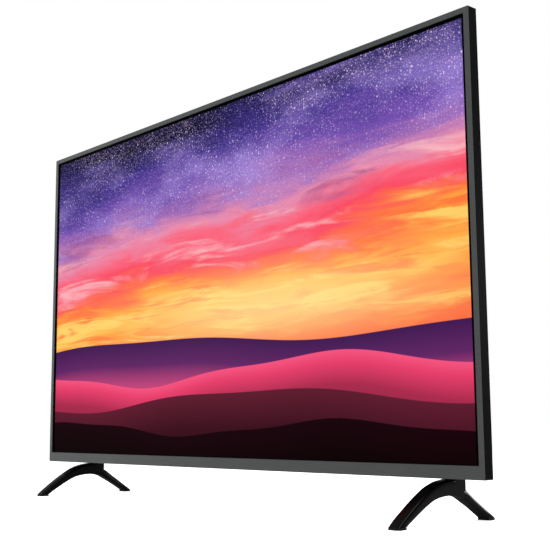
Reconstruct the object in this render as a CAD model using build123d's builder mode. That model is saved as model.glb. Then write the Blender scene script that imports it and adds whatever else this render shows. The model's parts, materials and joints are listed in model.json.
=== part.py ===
"""A flat television on two arched feet, as its separate pieces.

Lengths are millimetres. X runs to the viewer's right, Y to the back and Z up. The origin is on
the floor, midway across the set and midway along its feet. Most places are given as a depth
behind the bezel's front face and a height above the cabinet's bottom edge.
"""

import os
from math import hypot

from build123d import *

# Screen and cabinet
screen_width = 941.2
screen_height = 529.4
side_margin = 12.9
top_margin = 11.6
bottom_margin = 17.0
corner_radius = 2.0

# Clearances
nest_gap = 0.3
glass_gap = 0.5
slip_gap = 0.05
part_gap = 3.0
cut_overrun = 1.0

# Front bezel
face_side = 8.6
face_top = 7.6
face_bottom = 16.0
face_thickness = 1.9
face_edge_round = 0.6
opening_chamfer = 0.5
rim_depth = 14.8
rim_wall = 1.8
rib_length = 14.0
rib_pitch = 118.0
rib_reach = 1.0
rib_thickness = 1.2

# Foam strip between the bezel and the glass
gasket_thickness = 0.5
gasket_width = 2.0
gasket_setback = 1.0

# Liquid crystal cell, its frame and the sheets behind it
cell_thickness = 1.4
frame_wall = 2.0
ledge_thickness = 1.2
ledge_clearance = 1.5
frame_depth = 10.5
sheet_gap = 1.0
film_thickness = 0.3
diffuser_thickness = 1.5

# Steel chassis tray
chassis_sheet = 0.8
flange_width = 5.0
tray_depth = 20.0
tray_slope_run = 18.0
bead_length = 620.0
bead_width = 16.0
bead_height = 3.0
bead_pitch = 34.0
bead_step_shares = (1.5, 2.5)

# Backlight
reflector_thickness = 0.4
led_columns = 8
led_rows = 4
pin_columns = 3
pin_rows = 2
led_bar_width = 14.0
led_bar_thickness = 1.0
led_bar_overhang = 20.0
lens_radius = 8.0
lens_height = 5.5
lens_rim = 1.4
lens_hole_gap = 0.6
post_base_radius = 6.0
post_base_thickness = 1.2
post_root_radius = 2.6
post_tip_radius = 1.0
post_stem_radius = 1.5
post_barb_radius = 2.2
post_barb_length = 1.4

# Drive boards along the bottom of the cell
drive_board_thickness = 1.0
drive_board_height = 10.0
drive_board_start = 25.0
drive_board_lift = 3.4
drive_films_each = 4
drive_film_width = 36.0
drive_film_thickness = 0.2
drive_film_bond = 4.0
drive_film_bend = 0.6

# Circuit boards and what fixes them
board_thickness = 1.6
standoff_height = 7.0
standoff_radius = 3.6
board_hole_inset = 6.0
board_screw_radius = 1.45
board_screw_bite = 5.0
board_screw_head_radius = 2.8
board_screw_head = 1.8
board_screw_round = 0.6
main_board_width = 175.0
main_board_height = 160.0
power_board_width = 200.0
power_board_height = 180.0
timing_board_width = 130.0
timing_board_height = 40.0
timing_board_centre = 150.0
insulator_thickness = 0.4
insulator_margin = 2.0

# Flat cables and wires
ribbon_thickness = 0.3
ribbon_width = 20.0
ribbon_bend = 2.0
drive_ribbon_share = 0.33
harness_thickness = 2.4
harness_width = 12.0
harness_bend = 4.0
harness_drop = 36.0
harness_share = 0.25
led_harness_reach = 46.0
speaker_wire_radius = 1.2
speaker_wire_bend = 7.0
speaker_wire_height = 100.0

# Rear cover
cover_wall = 2.2
cover_reveal = 0.4
cover_slope_run = 26.0
cover_flat_depth = 44.0
cover_tongue_start = 12.0
cover_tongue_wall = 1.5
bulge_start_depth = 25.0
bulge_depth = 72.0
bulge_bottom = 10.0
bulge_height = 352.0
bulge_side_inset = 37.5
bulge_side_draft = 16.0
bulge_top_draft = 24.0
cover_post_radius = 4.5
cover_screw_radius = 1.9
cover_screw_length = 10.0
cover_screw_head_radius = 3.6
cover_screw_head = 2.2
cover_screw_sink = 1.0
cover_screw_margin = 14.0
cover_screw_share = 0.47
vent_length = 24.0
vent_width = 3.0
vent_pitch = 34.0
vent_row_pitch = 9.0
vent_columns = 16
vent_rows = 4
grille_slot_length = 26.0
grille_slot_width = 2.0
grille_slot_pitch = 5.0
grille_slots = 12

# Wall mount
vesa_spacing = 200.0
vesa_centre = 215.0
vesa_screw_radius = 3.0
vesa_screw_depth = 20.0
vesa_post_radius = 7.0
vesa_base_radius = 10.0
vesa_base_thickness = 1.5

# Recesses for the sockets
recess_side = 14.0
recess_bottom = 84.0
recess_sill = 124.0
recess_side_top = 295.0
recess_reach = 186.0
recess_floor_gap = 3.1
inlet_recess_width = 60.0
inlet_recess_height = 56.0
wall_vent_columns = 7
wall_vent_rows = 3
plate_thickness = 2.0
plate_gap = 1.8

# Sockets
side_sockets = 5
side_socket_share = 0.167
down_socket_share = 0.25
hdmi_width = 15.0
hdmi_thickness = 5.8
hdmi_length = 14.0
hdmi_shell = 0.5
hdmi_tongue = 1.6
hdmi_tongue_width = 12.0
usb_width = 13.1
usb_thickness = 5.9
usb_length = 15.0
usb_shell = 0.4
usb_tongue = 1.9
jack_width = 11.0
jack_thickness = 9.0
jack_length = 13.0
jack_nose_radius = 3.4
jack_nose_length = 4.3
jack_bore_radius = 1.75
lan_width = 16.0
lan_thickness = 13.4
lan_length = 21.0
lan_wall = 1.9
lan_cavity_depth = 14.0
tuner_width = 42.0
tuner_thickness = 12.0
tuner_length = 36.0
tuner_nose_radius = 4.8
tuner_bore_radius = 3.9
tuner_bore_depth = 8.0
tuner_pin_radius = 0.6
inlet_share = 0.25
inlet_width = 23.0
inlet_thickness = 13.0
inlet_length = 24.0
inlet_cavity_width = 15.0
inlet_cavity_thickness = 8.4
inlet_cavity_depth = 14.0
inlet_pin_radius = 1.2
inlet_pin_spacing = 8.6
inlet_pin_length = 11.0

# Parts on the boards
chip_thickness = 1.4
processor_side = 27.0
memory_width = 9.0
memory_height = 13.0
processor_share = 0.125
heatsink_base = 3.0
heatsink_side = 45.0
heatsink_height = 16.0
heatsink_fins = 8
heatsink_fin_thickness = 1.4
transformer_width = 36.0
transformer_height = 32.0
transformer_thickness = 24.0
transformer_flange = 3.0
transformer_step_share = 0.9
capacitor_radius = 9.0
capacitor_length = 27.0
capacitor_round = 1.0
capacitor_inset = 27.0
capacitors = 3
power_heatsink_width = 60.0
power_heatsink_height = 26.0
power_heatsink_sheet = 2.0
radio_width = 34.0
radio_height = 22.0
radio_can_margin = 3.0
radio_can_thickness = 2.0

# Speakers, which fire down through the cover
speaker_length = 120.0
speaker_thickness = 36.0
speaker_height = 45.0
speaker_wall = 2.0
speaker_floor_gap = 4.8
speaker_front_gap = 3.1
basket_radius = 16.0
basket_rim = 1.2
basket_cup_radius = 14.0
basket_depth = 13.0
basket_sheet = 1.0
magnet_radius = 11.0
magnet_thickness = 8.0
coil_radius = 4.6
coil_wall = 0.5
coil_share = 0.33
pole_share = 0.8
cone_radius = 10.5
cone_depth = 4.2
cone_sheet = 0.5
cone_lip = 0.9
surround_rise = 2.2
surround_thickness = 0.6
pole_gap = 0.5
ear_width = 12.0
ear_height = 14.0
ear_thickness = 3.0
grommet_radius = 4.6
grommet_hole_radius = 3.2
grommet_lip = 1.6
stud_radius = 2.0

# Remote receiver, power button and their boards
window_width = 24.0
window_length = 8.0
window_depth = 6.0
window_height = 4.0
window_ear = 3.0
window_ear_thickness = 1.2
receiver_width = 6.0
receiver_length = 4.0
receiver_height = 2.8
receiver_board_width = 28.0
receiver_board_length = 5.4
receiver_board_thickness = 1.0
button_depth = 36.0
button_width = 16.0
button_length = 7.0
button_flange = 1.2
button_flange_thickness = 1.2
button_proud = 0.8
button_height = 5.3
button_corner = 2.0
plunger_radius = 1.75
plunger_length = 2.2
switch_side = 6.2
switch_height = 3.8
switch_bore_depth = 2.4
control_board_width = 60.0
control_board_length = 14.0
control_boss_radius = 3.0
control_screw_length = 6.0

# Feet
foot_height = 55.3
foot_width = 18.0
foot_inset = 82.0
foot_front_reach = 65.0
foot_rear_reach = 116.7
toe_front_length = 13.9
toe_rear_length = 13.8
foot_crown = 4.2
tenon_depth = 39.4
tenon_length = 19.8
tenon_rise = 50.0
tenon_edge = 1.4
pad_thickness = 2.8
pad_overhang = 0.3
front_outer_shares = ((-1.0, 0.0), (-0.843, 0.162), (-0.651, 0.333), (-0.448, 0.505), (-0.22, 0.676),
                      (-0.012, 0.81), (0.22, 0.905), (0.41, 0.943), (0.606, 0.954))
arch_shares = ((-0.597, 0.143), (-0.382, 0.295), (-0.174, 0.429), (0.069, 0.543), (0.43, 0.594),
               (0.789, 0.543), (0.988, 0.429), (1.191, 0.295), (1.398, 0.143))
rear_outer_shares = ((1.0, 0.0), (0.896, 0.162), (0.785, 0.333), (0.668, 0.505), (0.559, 0.676))
foot_top_share = 0.755

# Brackets and screws that hold the feet
bracket_sheet = 2.0
bracket_flange = 8.0
bracket_height = 48.0
foot_screw_radius = 2.0
foot_screw_head_radius = 3.8
foot_screw_head = 2.4
foot_screw_shares = (0.45, 0.85)
foot_boss_radius = 5.0

# Overall sizes and the planes that everything is set out from
cabinet_width = screen_width + 2 * side_margin
cabinet_height = screen_height + bottom_margin + top_margin
front_y = (foot_front_reach - foot_rear_reach) / 2
cabinet_z = foot_height
screen_centre = bottom_margin + screen_height / 2


def at_depth(depth):
    """A plane along the screen, this far behind the front face, facing the viewer."""
    return Plane(origin=(0, front_y + depth, cabinet_z), x_dir=(1, 0, 0), z_dir=(0, -1, 0))


def at_height(height):
    """A level plane, this far above the cabinet's bottom, facing up."""
    return Plane(origin=(0, front_y, cabinet_z + height), x_dir=(1, 0, 0), z_dir=(0, 0, 1))


def at_side(x):
    """An upright plane across the set, facing the viewer's right; its own x is depth."""
    return Plane(origin=(x, front_y, cabinet_z), x_dir=(0, 1, 0), z_dir=(1, 0, 0))


def span(low_x, high_x, low_y, high_y, mode=Mode.ADD):
    """Draw a rectangle between these limits in the sketch at hand."""
    with Locations(((low_x + high_x) / 2, (low_y + high_y) / 2)):
        Rectangle(high_x - low_x, high_y - low_y, mode=mode)


def outline(side, bottom, top, mode=Mode.ADD):
    """Draw the cabinet's outline, drawn in by these amounts, in the sketch at hand."""
    span(side - cabinet_width / 2, cabinet_width / 2 - side, bottom, cabinet_height - top, mode)


def ribbon(plane, points, bend, thickness, width, centre):
    """A flat cable: a bent path in this plane, as wide as this about its centre."""
    with BuildPart() as strip:
        with BuildSketch(plane.offset(centre - width / 2)):
            with BuildLine():
                FilletPolyline(*points, radius=bend)
            trace(line_width=thickness)
        extrude(amount=width)
    return strip.part


# Depths of the layers, from the front
cell_depth = face_thickness + gasket_thickness
ledge_depth = cell_depth + cell_thickness
first_film_depth = ledge_depth + ledge_thickness
second_film_depth = first_film_depth + film_thickness
diffuser_depth = second_film_depth + film_thickness
flange_depth = diffuser_depth + diffuser_thickness
tray_floor_depth = flange_depth + tray_depth
tray_back_depth = tray_floor_depth + chassis_sheet
board_depth = tray_back_depth + standoff_height
board_back_depth = board_depth + board_thickness

# How far the nested frames are drawn in from the cabinet's outline
frame_outer_inset = rim_wall + nest_gap
frame_inner_inset = frame_outer_inset + frame_wall
cell_inset = frame_inner_inset + glass_gap
stack_inset = cell_inset + sheet_gap
tray_mouth_inset = stack_inset + flange_width
tray_floor_inset = tray_mouth_inset + tray_slope_run
sheet_side = chassis_sheet * hypot(tray_slope_run, tray_depth) / tray_depth
reflector_side = reflector_thickness * hypot(tray_slope_run, tray_depth) / tray_depth
tray_floor_half = cabinet_width / 2 - tray_floor_inset
tray_floor_top = cabinet_height - tray_floor_inset


def tray_inset(depth):
    """How far the inside of the tray's sloping wall is drawn in at this depth."""
    return tray_mouth_inset + tray_slope_run * (depth - flange_depth) / tray_depth


# Front bezel: a face with the screen's opening, and a rim round the cabinet
with BuildPart() as front_bezel:
    with BuildSketch(at_depth(rim_depth)):
        with Locations((0, cabinet_height / 2)):
            RectangleRounded(cabinet_width, cabinet_height, corner_radius)
    extrude(amount=rim_depth)
    with BuildSketch(at_depth(rim_depth)):
        outline(rim_wall, rim_wall, rim_wall)
    extrude(amount=rim_depth - face_thickness, mode=Mode.SUBTRACT)
    fillet(front_bezel.faces().sort_by(Axis.Y)[0].outer_wire().edges(), face_edge_round)
    with BuildSketch(at_depth(face_thickness)):
        outline(face_side, face_bottom, face_top)
    extrude(amount=face_thickness, mode=Mode.SUBTRACT)
    chamfer(front_bezel.faces().sort_by(Axis.Y)[0].inner_wires()[0].edges(), opening_chamfer)
    rib_columns = 2 * int(cabinet_width / rib_pitch / 2)
    rib_rows = 2 * int(cabinet_height / rib_pitch / 2)
    rib_plane = at_depth(frame_depth + rib_thickness)
    with BuildSketch(rib_plane):
        for height in (rim_wall + rib_reach / 2, cabinet_height - rim_wall - rib_reach / 2):
            with Locations((0, height)):
                with GridLocations(rib_pitch, rib_reach, rib_columns, 1):
                    Rectangle(rib_length, rib_reach)
        for side in (-1, 1):
            with Locations((side * (cabinet_width / 2 - rim_wall - rib_reach / 2), cabinet_height / 2)):
                with GridLocations(rib_reach, rib_pitch, 1, rib_rows):
                    Rectangle(rib_reach, rib_length)
    extrude(amount=rib_thickness)
    with BuildSketch(at_height(0)):
        with Locations((0, window_depth + window_length / 2)):
            Rectangle(window_width + 2 * slip_gap, window_length + 2 * slip_gap)
    extrude(amount=rim_wall, mode=Mode.SUBTRACT)

# Foam strip that the glass bears on
with BuildPart() as bezel_gasket:
    with BuildSketch(at_depth(cell_depth)):
        gasket_side = face_side - gasket_setback
        gasket_bottom = face_bottom - gasket_setback
        gasket_top = face_top - gasket_setback
        outline(gasket_side - gasket_width, gasket_bottom - gasket_width, gasket_top - gasket_width)
        outline(gasket_side, gasket_bottom, gasket_top, mode=Mode.SUBTRACT)
    extrude(amount=gasket_thickness)

# Liquid crystal cell
with BuildPart() as lcd_cell:
    with BuildSketch(at_depth(ledge_depth)):
        outline(cell_inset, cell_inset, cell_inset)
    extrude(amount=cell_thickness)

# Drive boards, spread along the bottom; their films bend round under the cell
foot_x = cabinet_width / 2 - foot_inset
bracket_half = foot_width / 2 + nest_gap + bracket_sheet + bracket_flange
bottom_screw_x = foot_x - bracket_half - part_gap - cover_post_radius
drive_board_end = bottom_screw_x - cover_post_radius - part_gap
drive_board_length = drive_board_end - drive_board_start
drive_board_x = (drive_board_end + drive_board_start) / 2
drive_board_bottom = tray_floor_inset + drive_board_lift
drive_board_back = tray_back_depth + drive_board_thickness
drive_film_pitch = drive_board_length / drive_films_each
drive_film_xs = [side * (drive_board_start + drive_film_pitch * (2 * step + 1) / 2)
                 for side in (-1, 1) for step in range(drive_films_each)]
drive_film_level = cell_inset + drive_film_thickness / 2
drive_film_turn = flange_depth + chassis_sheet + glass_gap
drive_film_path = [
    (ledge_depth + drive_film_thickness / 2, cell_inset + drive_film_bond),
    (ledge_depth + drive_film_thickness / 2, drive_film_level),
    (drive_film_turn, drive_film_level),
    (drive_board_back + drive_film_thickness / 2, drive_board_bottom - drive_board_lift),
    (drive_board_back + drive_film_thickness / 2, drive_board_bottom + drive_board_height / 2),
]
with BuildPart() as drive_boards:
    with BuildSketch(at_depth(drive_board_back)):
        with Locations((0, drive_board_bottom + drive_board_height / 2)):
            with GridLocations(2 * drive_board_x, drive_board_height, 2, 1):
                Rectangle(drive_board_length, drive_board_height)
    extrude(amount=drive_board_thickness)

with BuildPart() as drive_films:
    for x in drive_film_xs:
        add(ribbon(at_side(0), drive_film_path, drive_film_bend, drive_film_thickness,
                   drive_film_width, x))

# Frame between the cell and the sheets, with notches for the films and the receiver's window
with BuildPart() as middle_frame:
    with BuildSketch(at_depth(frame_depth)):
        outline(frame_outer_inset, frame_outer_inset, frame_outer_inset)
        outline(frame_inner_inset, frame_inner_inset, frame_inner_inset, mode=Mode.SUBTRACT)
    extrude(amount=frame_depth - face_thickness)
    with BuildSketch(at_depth(first_film_depth)):
        outline(frame_outer_inset, frame_outer_inset, frame_outer_inset)
        outline(side_margin - ledge_clearance, bottom_margin - ledge_clearance,
                top_margin - ledge_clearance, mode=Mode.SUBTRACT)
    extrude(amount=ledge_thickness)
    notch_half = drive_film_width / 2 + glass_gap
    notch_top = cell_inset + drive_film_bond + glass_gap
    with BuildSketch(at_depth(first_film_depth)):
        for x in drive_film_xs:
            span(x - notch_half, x + notch_half, frame_inner_inset, notch_top)
    extrude(amount=ledge_thickness, mode=Mode.SUBTRACT)
    window_half = window_width / 2 + window_ear + glass_gap
    with BuildSketch(at_height(frame_outer_inset)):
        span(-window_half, window_half, first_film_depth, frame_depth)
    extrude(amount=frame_wall, mode=Mode.SUBTRACT)

# Light sheets and the diffuser plate, laid on each other
with BuildPart() as brightness_film:
    with BuildSketch(at_depth(second_film_depth)):
        outline(stack_inset, stack_inset, stack_inset)
    extrude(amount=film_thickness)

with BuildPart() as prism_film:
    with BuildSketch(at_depth(diffuser_depth)):
        outline(stack_inset, stack_inset, stack_inset)
    extrude(amount=film_thickness)

with BuildPart() as diffuser_plate:
    with BuildSketch(at_depth(flange_depth)):
        outline(stack_inset, stack_inset, stack_inset)
    extrude(amount=diffuser_thickness)

# Places of the lamps, and of the pins that hold the diffuser off them
led_pitch_x = screen_width / led_columns
led_pitch_z = screen_height / led_rows
led_front = tray_floor_depth - led_bar_thickness
reflector_front = led_front - reflector_thickness
post_pitch_x = 2 * led_pitch_x
post_pitch_z = 2 * led_pitch_z


def lamp_places():
    """Every lamp's place along the screen."""
    return GridLocations(led_pitch_x, led_pitch_z, led_columns, led_rows)


def pin_places():
    """The places of the diffuser's pins, between the lamps."""
    return GridLocations(post_pitch_x, post_pitch_z, pin_columns, pin_rows)


# Places of the boards, the wall mount and the cover's screws on the chassis
bulge_top = bulge_bottom + bulge_height
bulge_back_half = cabinet_width / 2 - bulge_side_inset - bulge_side_draft
recess_x = bulge_back_half - recess_side
recess_floor_depth = tray_back_depth + recess_floor_gap + cover_wall
main_board_right = recess_x - cover_wall - plate_thickness - plate_gap
main_board_x = main_board_right - main_board_width / 2
main_board_bottom = recess_sill + cover_wall + plate_thickness + plate_gap
main_board_z = main_board_bottom + main_board_height / 2
power_board_x = -main_board_right + power_board_width / 2
power_board_bottom = recess_sill + cover_wall + plate_gap
power_board_z = power_board_bottom + power_board_height / 2


def corners(centre_x, centre_z, width, height):
    """The four screw places of a board."""
    across = width / 2 - board_hole_inset
    up = height / 2 - board_hole_inset
    return [(centre_x + a * across, centre_z + b * up) for a in (-1, 1) for b in (-1, 1)]


main_holes = corners(main_board_x, main_board_z, main_board_width, main_board_height)
power_holes = corners(power_board_x, power_board_z, power_board_width, power_board_height)
timing_holes = corners(0, timing_board_centre, timing_board_width, timing_board_height)
board_holes = main_holes + power_holes + timing_holes
vesa_places = [(a * vesa_spacing / 2, vesa_centre + b * vesa_spacing / 2)
               for a in (-1, 1) for b in (-1, 1)]
upper_screws = [(share * (tray_floor_half - cover_screw_margin), tray_floor_top - cover_screw_margin)
                for share in (-1, -cover_screw_share, 0, cover_screw_share, 1)]
upper_screws += [(share * (tray_floor_half - cover_screw_margin), bulge_top + cover_screw_margin)
                 for share in (-1, -cover_screw_share, cover_screw_share, 1)]
lower_screw_z = drive_board_bottom + cover_post_radius
lower_screws = [(x, lower_screw_z) for x in (-bottom_screw_x, 0, bottom_screw_x)]
bead_places = [(0, tray_floor_top - cover_screw_margin - step * bead_pitch) for step in bead_step_shares]

# Speakers, hung on studs between the cover's floor and the chassis
speaker_x = bottom_screw_x - cover_post_radius - part_gap - ear_width - speaker_length / 2
speaker_front = tray_back_depth + speaker_front_gap
speaker_centre_depth = speaker_front + speaker_thickness / 2
speaker_bottom = bulge_bottom + cover_wall + speaker_floor_gap
speaker_top = speaker_bottom + speaker_height
stud_reach = speaker_thickness / 2
stud_z = speaker_top - ear_height / 2
stud_xs = [side * speaker_x + end * (speaker_length / 2 + ear_width / 2)
           for side in (-1, 1) for end in (-1, 1)]

# Steel chassis: a shallow tray with a flange, pressed beads, standoffs and studs
with BuildPart() as rear_chassis:
    with BuildSketch(at_depth(flange_depth + chassis_sheet)):
        outline(stack_inset, stack_inset, stack_inset)
    extrude(amount=chassis_sheet)
    for depth in (flange_depth, tray_back_depth):
        inset = tray_inset(depth) - sheet_side
        with BuildSketch(at_depth(depth)):
            outline(inset, inset, inset)
    loft()
    with BuildSketch(at_depth(tray_back_depth + bead_height)):
        with Locations(*bead_places):
            SlotOverall(bead_length, bead_width)
    extrude(amount=bead_height)
    for depth in (flange_depth, tray_floor_depth):
        inset = tray_inset(depth)
        with BuildSketch(at_depth(depth)):
            outline(inset, inset, inset)
    loft(mode=Mode.SUBTRACT)
    with BuildSketch(at_depth(tray_back_depth + bead_height - chassis_sheet)):
        with Locations(*bead_places):
            SlotOverall(bead_length - 2 * chassis_sheet, bead_width - 2 * chassis_sheet)
    extrude(amount=bead_height, mode=Mode.SUBTRACT)
    with BuildSketch(at_depth(board_depth)):
        with Locations(*board_holes):
            Circle(standoff_radius)
    extrude(amount=standoff_height)
    with BuildSketch(at_depth(board_depth)):
        with Locations(*board_holes):
            Circle(board_screw_radius + slip_gap)
    extrude(amount=board_screw_bite, mode=Mode.SUBTRACT)
    with BuildSketch(at_depth(speaker_front + stud_reach)):
        with Locations(*[(x, stud_z) for x in stud_xs]):
            Circle(stud_radius)
    extrude(amount=speaker_front + stud_reach - tray_back_depth)
    with BuildSketch(at_depth(tray_back_depth)):
        with Locations((0, screen_centre)):
            with pin_places():
                Circle(post_stem_radius + slip_gap)
        harness_hole_x = power_board_x + power_board_width / 2 + led_harness_reach
        with Locations((harness_hole_x, screen_centre - led_pitch_z / 2)):
            Rectangle(harness_width, harness_width)
    extrude(amount=chassis_sheet, mode=Mode.SUBTRACT)

# Lamp bars with a lens over each lamp
with BuildPart() as led_bars:
    with BuildSketch(at_depth(tray_floor_depth)):
        with Locations((0, screen_centre)):
            with GridLocations(led_pitch_x, led_pitch_z, 1, led_rows):
                Rectangle((led_columns - 1) * led_pitch_x + 2 * led_bar_overhang, led_bar_width)
    extrude(amount=led_bar_thickness)

with BuildPart() as lens:
    with BuildSketch(Plane.XZ):
        with BuildLine():
            Line((0, 0), (lens_radius, 0))
            Line((lens_radius, 0), (lens_radius, lens_rim))
            TangentArc((0, lens_height), (lens_radius, lens_rim), tangent=(1, 0))
            Line((0, lens_height), (0, 0))
        make_face()
    revolve(axis=Axis.Z)

with BuildPart(at_depth(led_front)) as led_lenses:
    with Locations((0, screen_centre)):
        with lamp_places():
            add(lens.part)

# White reflector that lines the tray, cut out round the lenses
with BuildPart() as reflector_sheet:
    for depth in (flange_depth + glass_gap, led_front):
        inset = tray_inset(depth) + nest_gap
        with BuildSketch(at_depth(depth)):
            outline(inset, inset, inset)
    loft()
    for depth in (flange_depth + glass_gap, reflector_front):
        inset = tray_inset(depth) + nest_gap + reflector_side
        with BuildSketch(at_depth(depth)):
            outline(inset, inset, inset)
    loft(mode=Mode.SUBTRACT)
    with BuildSketch(at_depth(led_front)):
        with Locations((0, screen_centre)):
            with lamp_places():
                Circle(lens_radius + lens_hole_gap)
            with pin_places():
                Circle(post_stem_radius + slip_gap)
    extrude(amount=reflector_thickness, mode=Mode.SUBTRACT)

# Pins that hold the diffuser off the lamps, clipped through the tray
pin_height = reflector_front - flange_depth - nest_gap
pin_stem = tray_back_depth - reflector_front + slip_gap
with BuildPart() as pin:
    with BuildSketch(Plane.XZ):
        with BuildLine():
            Polyline((0, pin_height), (post_tip_radius, pin_height), (post_root_radius, post_base_thickness),
                     (post_base_radius, post_base_thickness), (post_base_radius, 0), (post_stem_radius, 0),
                     (post_stem_radius, -pin_stem), (post_barb_radius, -pin_stem),
                     (post_tip_radius, -pin_stem - post_barb_length), (0, -pin_stem - post_barb_length),
                     close=True)
        make_face()
    revolve(axis=Axis.Z)

with BuildPart(at_depth(reflector_front)) as diffuser_pins:
    with Locations((0, screen_centre)):
        with pin_places():
            add(pin.part)


def board(centre_x, centre_z, width, height, holes):
    """A circuit board on its standoffs, with its screw holes."""
    with BuildPart() as panel:
        with BuildSketch(at_depth(board_back_depth)):
            with Locations((centre_x, centre_z)):
                Rectangle(width, height)
            with Locations(*holes):
                Circle(board_screw_radius + slip_gap, mode=Mode.SUBTRACT)
        extrude(amount=board_thickness)
    return panel.part


with BuildPart() as main_board:
    add(board(main_board_x, main_board_z, main_board_width, main_board_height, main_holes))

with BuildPart() as power_board:
    add(board(power_board_x, power_board_z, power_board_width, power_board_height, power_holes))

with BuildPart() as timing_board:
    add(board(0, timing_board_centre, timing_board_width, timing_board_height, timing_holes))

# Black sheet that keeps the power board off the steel
with BuildPart() as board_insulator:
    with BuildSketch(at_depth(tray_back_depth + insulator_thickness)):
        with Locations((power_board_x, power_board_z)):
            Rectangle(power_board_width + 2 * insulator_margin, power_board_height + 2 * insulator_margin)
        with Locations(*power_holes):
            Circle(standoff_radius + nest_gap, mode=Mode.SUBTRACT)
        with Locations((0, screen_centre)):
            with pin_places():
                Circle(post_barb_radius + nest_gap, mode=Mode.SUBTRACT)
    extrude(amount=insulator_thickness)

# Processor, memory and smaller chips
processor_x = main_board_x - processor_share * main_board_width
processor_z = main_board_z + processor_share * main_board_height
with BuildPart() as main_board_chips:
    with BuildSketch(at_depth(board_back_depth + chip_thickness)):
        with Locations((processor_x, processor_z)):
            Rectangle(processor_side, processor_side)
        memory_x = processor_x - heatsink_side / 2 - memory_width
        with Locations((memory_x, processor_z)):
            with GridLocations(memory_width, memory_height + part_gap, 1, 2):
                Rectangle(memory_width, memory_height)
        with Locations((memory_x, processor_z - heatsink_side)):
            Rectangle(memory_height, memory_height)
    extrude(amount=chip_thickness)

fin_pitch = (heatsink_side - heatsink_fin_thickness) / (heatsink_fins - 1)
with BuildPart() as main_heatsink:
    with BuildSketch(at_depth(board_back_depth + chip_thickness + heatsink_base)):
        with Locations((processor_x, processor_z)):
            Rectangle(heatsink_side, heatsink_side)
    extrude(amount=heatsink_base)
    with BuildSketch(at_depth(board_back_depth + chip_thickness + heatsink_height)):
        with Locations((processor_x, processor_z)):
            with GridLocations(fin_pitch, heatsink_side, heatsink_fins, 1):
                Rectangle(heatsink_fin_thickness, heatsink_side)
    extrude(amount=heatsink_height - heatsink_base)

# Power board: transformers, capacitors and heat plates
transformer_places = [(power_board_x, power_board_z + b * transformer_step_share * transformer_height)
                      for b in (-1, 1)]
with BuildPart() as power_transformers:
    with BuildSketch(at_depth(board_back_depth + transformer_thickness)):
        with Locations(*transformer_places):
            Rectangle(transformer_width - 2 * transformer_flange, transformer_height - 2 * transformer_flange)
    extrude(amount=transformer_thickness)
    for rise in (transformer_flange, transformer_thickness):
        with BuildSketch(at_depth(board_back_depth + rise)):
            with Locations(*transformer_places):
                Rectangle(transformer_width, transformer_height)
        extrude(amount=transformer_flange)

capacitor_x = power_board_x - power_board_width / 2 + capacitor_inset
with BuildPart() as power_capacitors:
    with BuildSketch(at_depth(board_back_depth + capacitor_length)):
        with Locations((capacitor_x, power_board_z + capacitor_radius)):
            with GridLocations(capacitor_radius, 2 * capacitor_radius + part_gap, 1, capacitors):
                Circle(capacitor_radius)
    extrude(amount=capacitor_length)
    fillet(power_capacitors.edges().filter_by(GeomType.CIRCLE).group_by(Axis.Y)[-1], capacitor_round)

heat_plate_x = power_board_x + power_board_width / 2 - power_heatsink_height
with BuildPart() as power_heatsinks:
    with BuildSketch(at_depth(board_back_depth + power_heatsink_height)):
        with Locations((heat_plate_x, power_board_z)):
            with GridLocations(power_heatsink_sheet, power_heatsink_width + 2 * part_gap, 1, 2):
                Rectangle(power_heatsink_sheet, power_heatsink_width)
    extrude(amount=power_heatsink_height)

# Radio board taped to the chassis
with BuildPart() as radio_module:
    radio_x = -vesa_spacing / 2 - vesa_base_radius - part_gap - radio_width / 2
    radio_z = vesa_places[0][1] - radio_height
    with BuildSketch(at_depth(tray_back_depth + drive_board_thickness)):
        with Locations((radio_x, radio_z)):
            Rectangle(radio_width, radio_height)
    extrude(amount=drive_board_thickness)
    with BuildSketch(at_depth(tray_back_depth + drive_board_thickness + radio_can_thickness)):
        with Locations((radio_x, radio_z)):
            Rectangle(radio_width - 2 * radio_can_margin, radio_height - 2 * radio_can_margin)
    extrude(amount=radio_can_thickness)

# Sockets that face the viewer's right, one above the other on the main board's edge
side_socket_pitch = side_socket_share * main_board_height
side_socket_zs = [main_board_z + side_socket_pitch * (step - 2) for step in range(side_sockets)]
hdmi_zs = side_socket_zs[3:]
usb_zs = side_socket_zs[1:3]
jack_z = side_socket_zs[0]
hdmi_centre = board_back_depth + hdmi_thickness / 2
usb_centre = board_back_depth + usb_thickness / 2
jack_centre = board_back_depth + jack_thickness / 2
down_socket_pitch = down_socket_share * main_board_width
tuner_x = main_board_x - down_socket_pitch
lan_x = main_board_x
down_hdmi_x = main_board_x + down_socket_pitch
lan_centre = board_back_depth + lan_thickness / 2
tuner_centre = board_back_depth + tuner_thickness / 2

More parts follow.
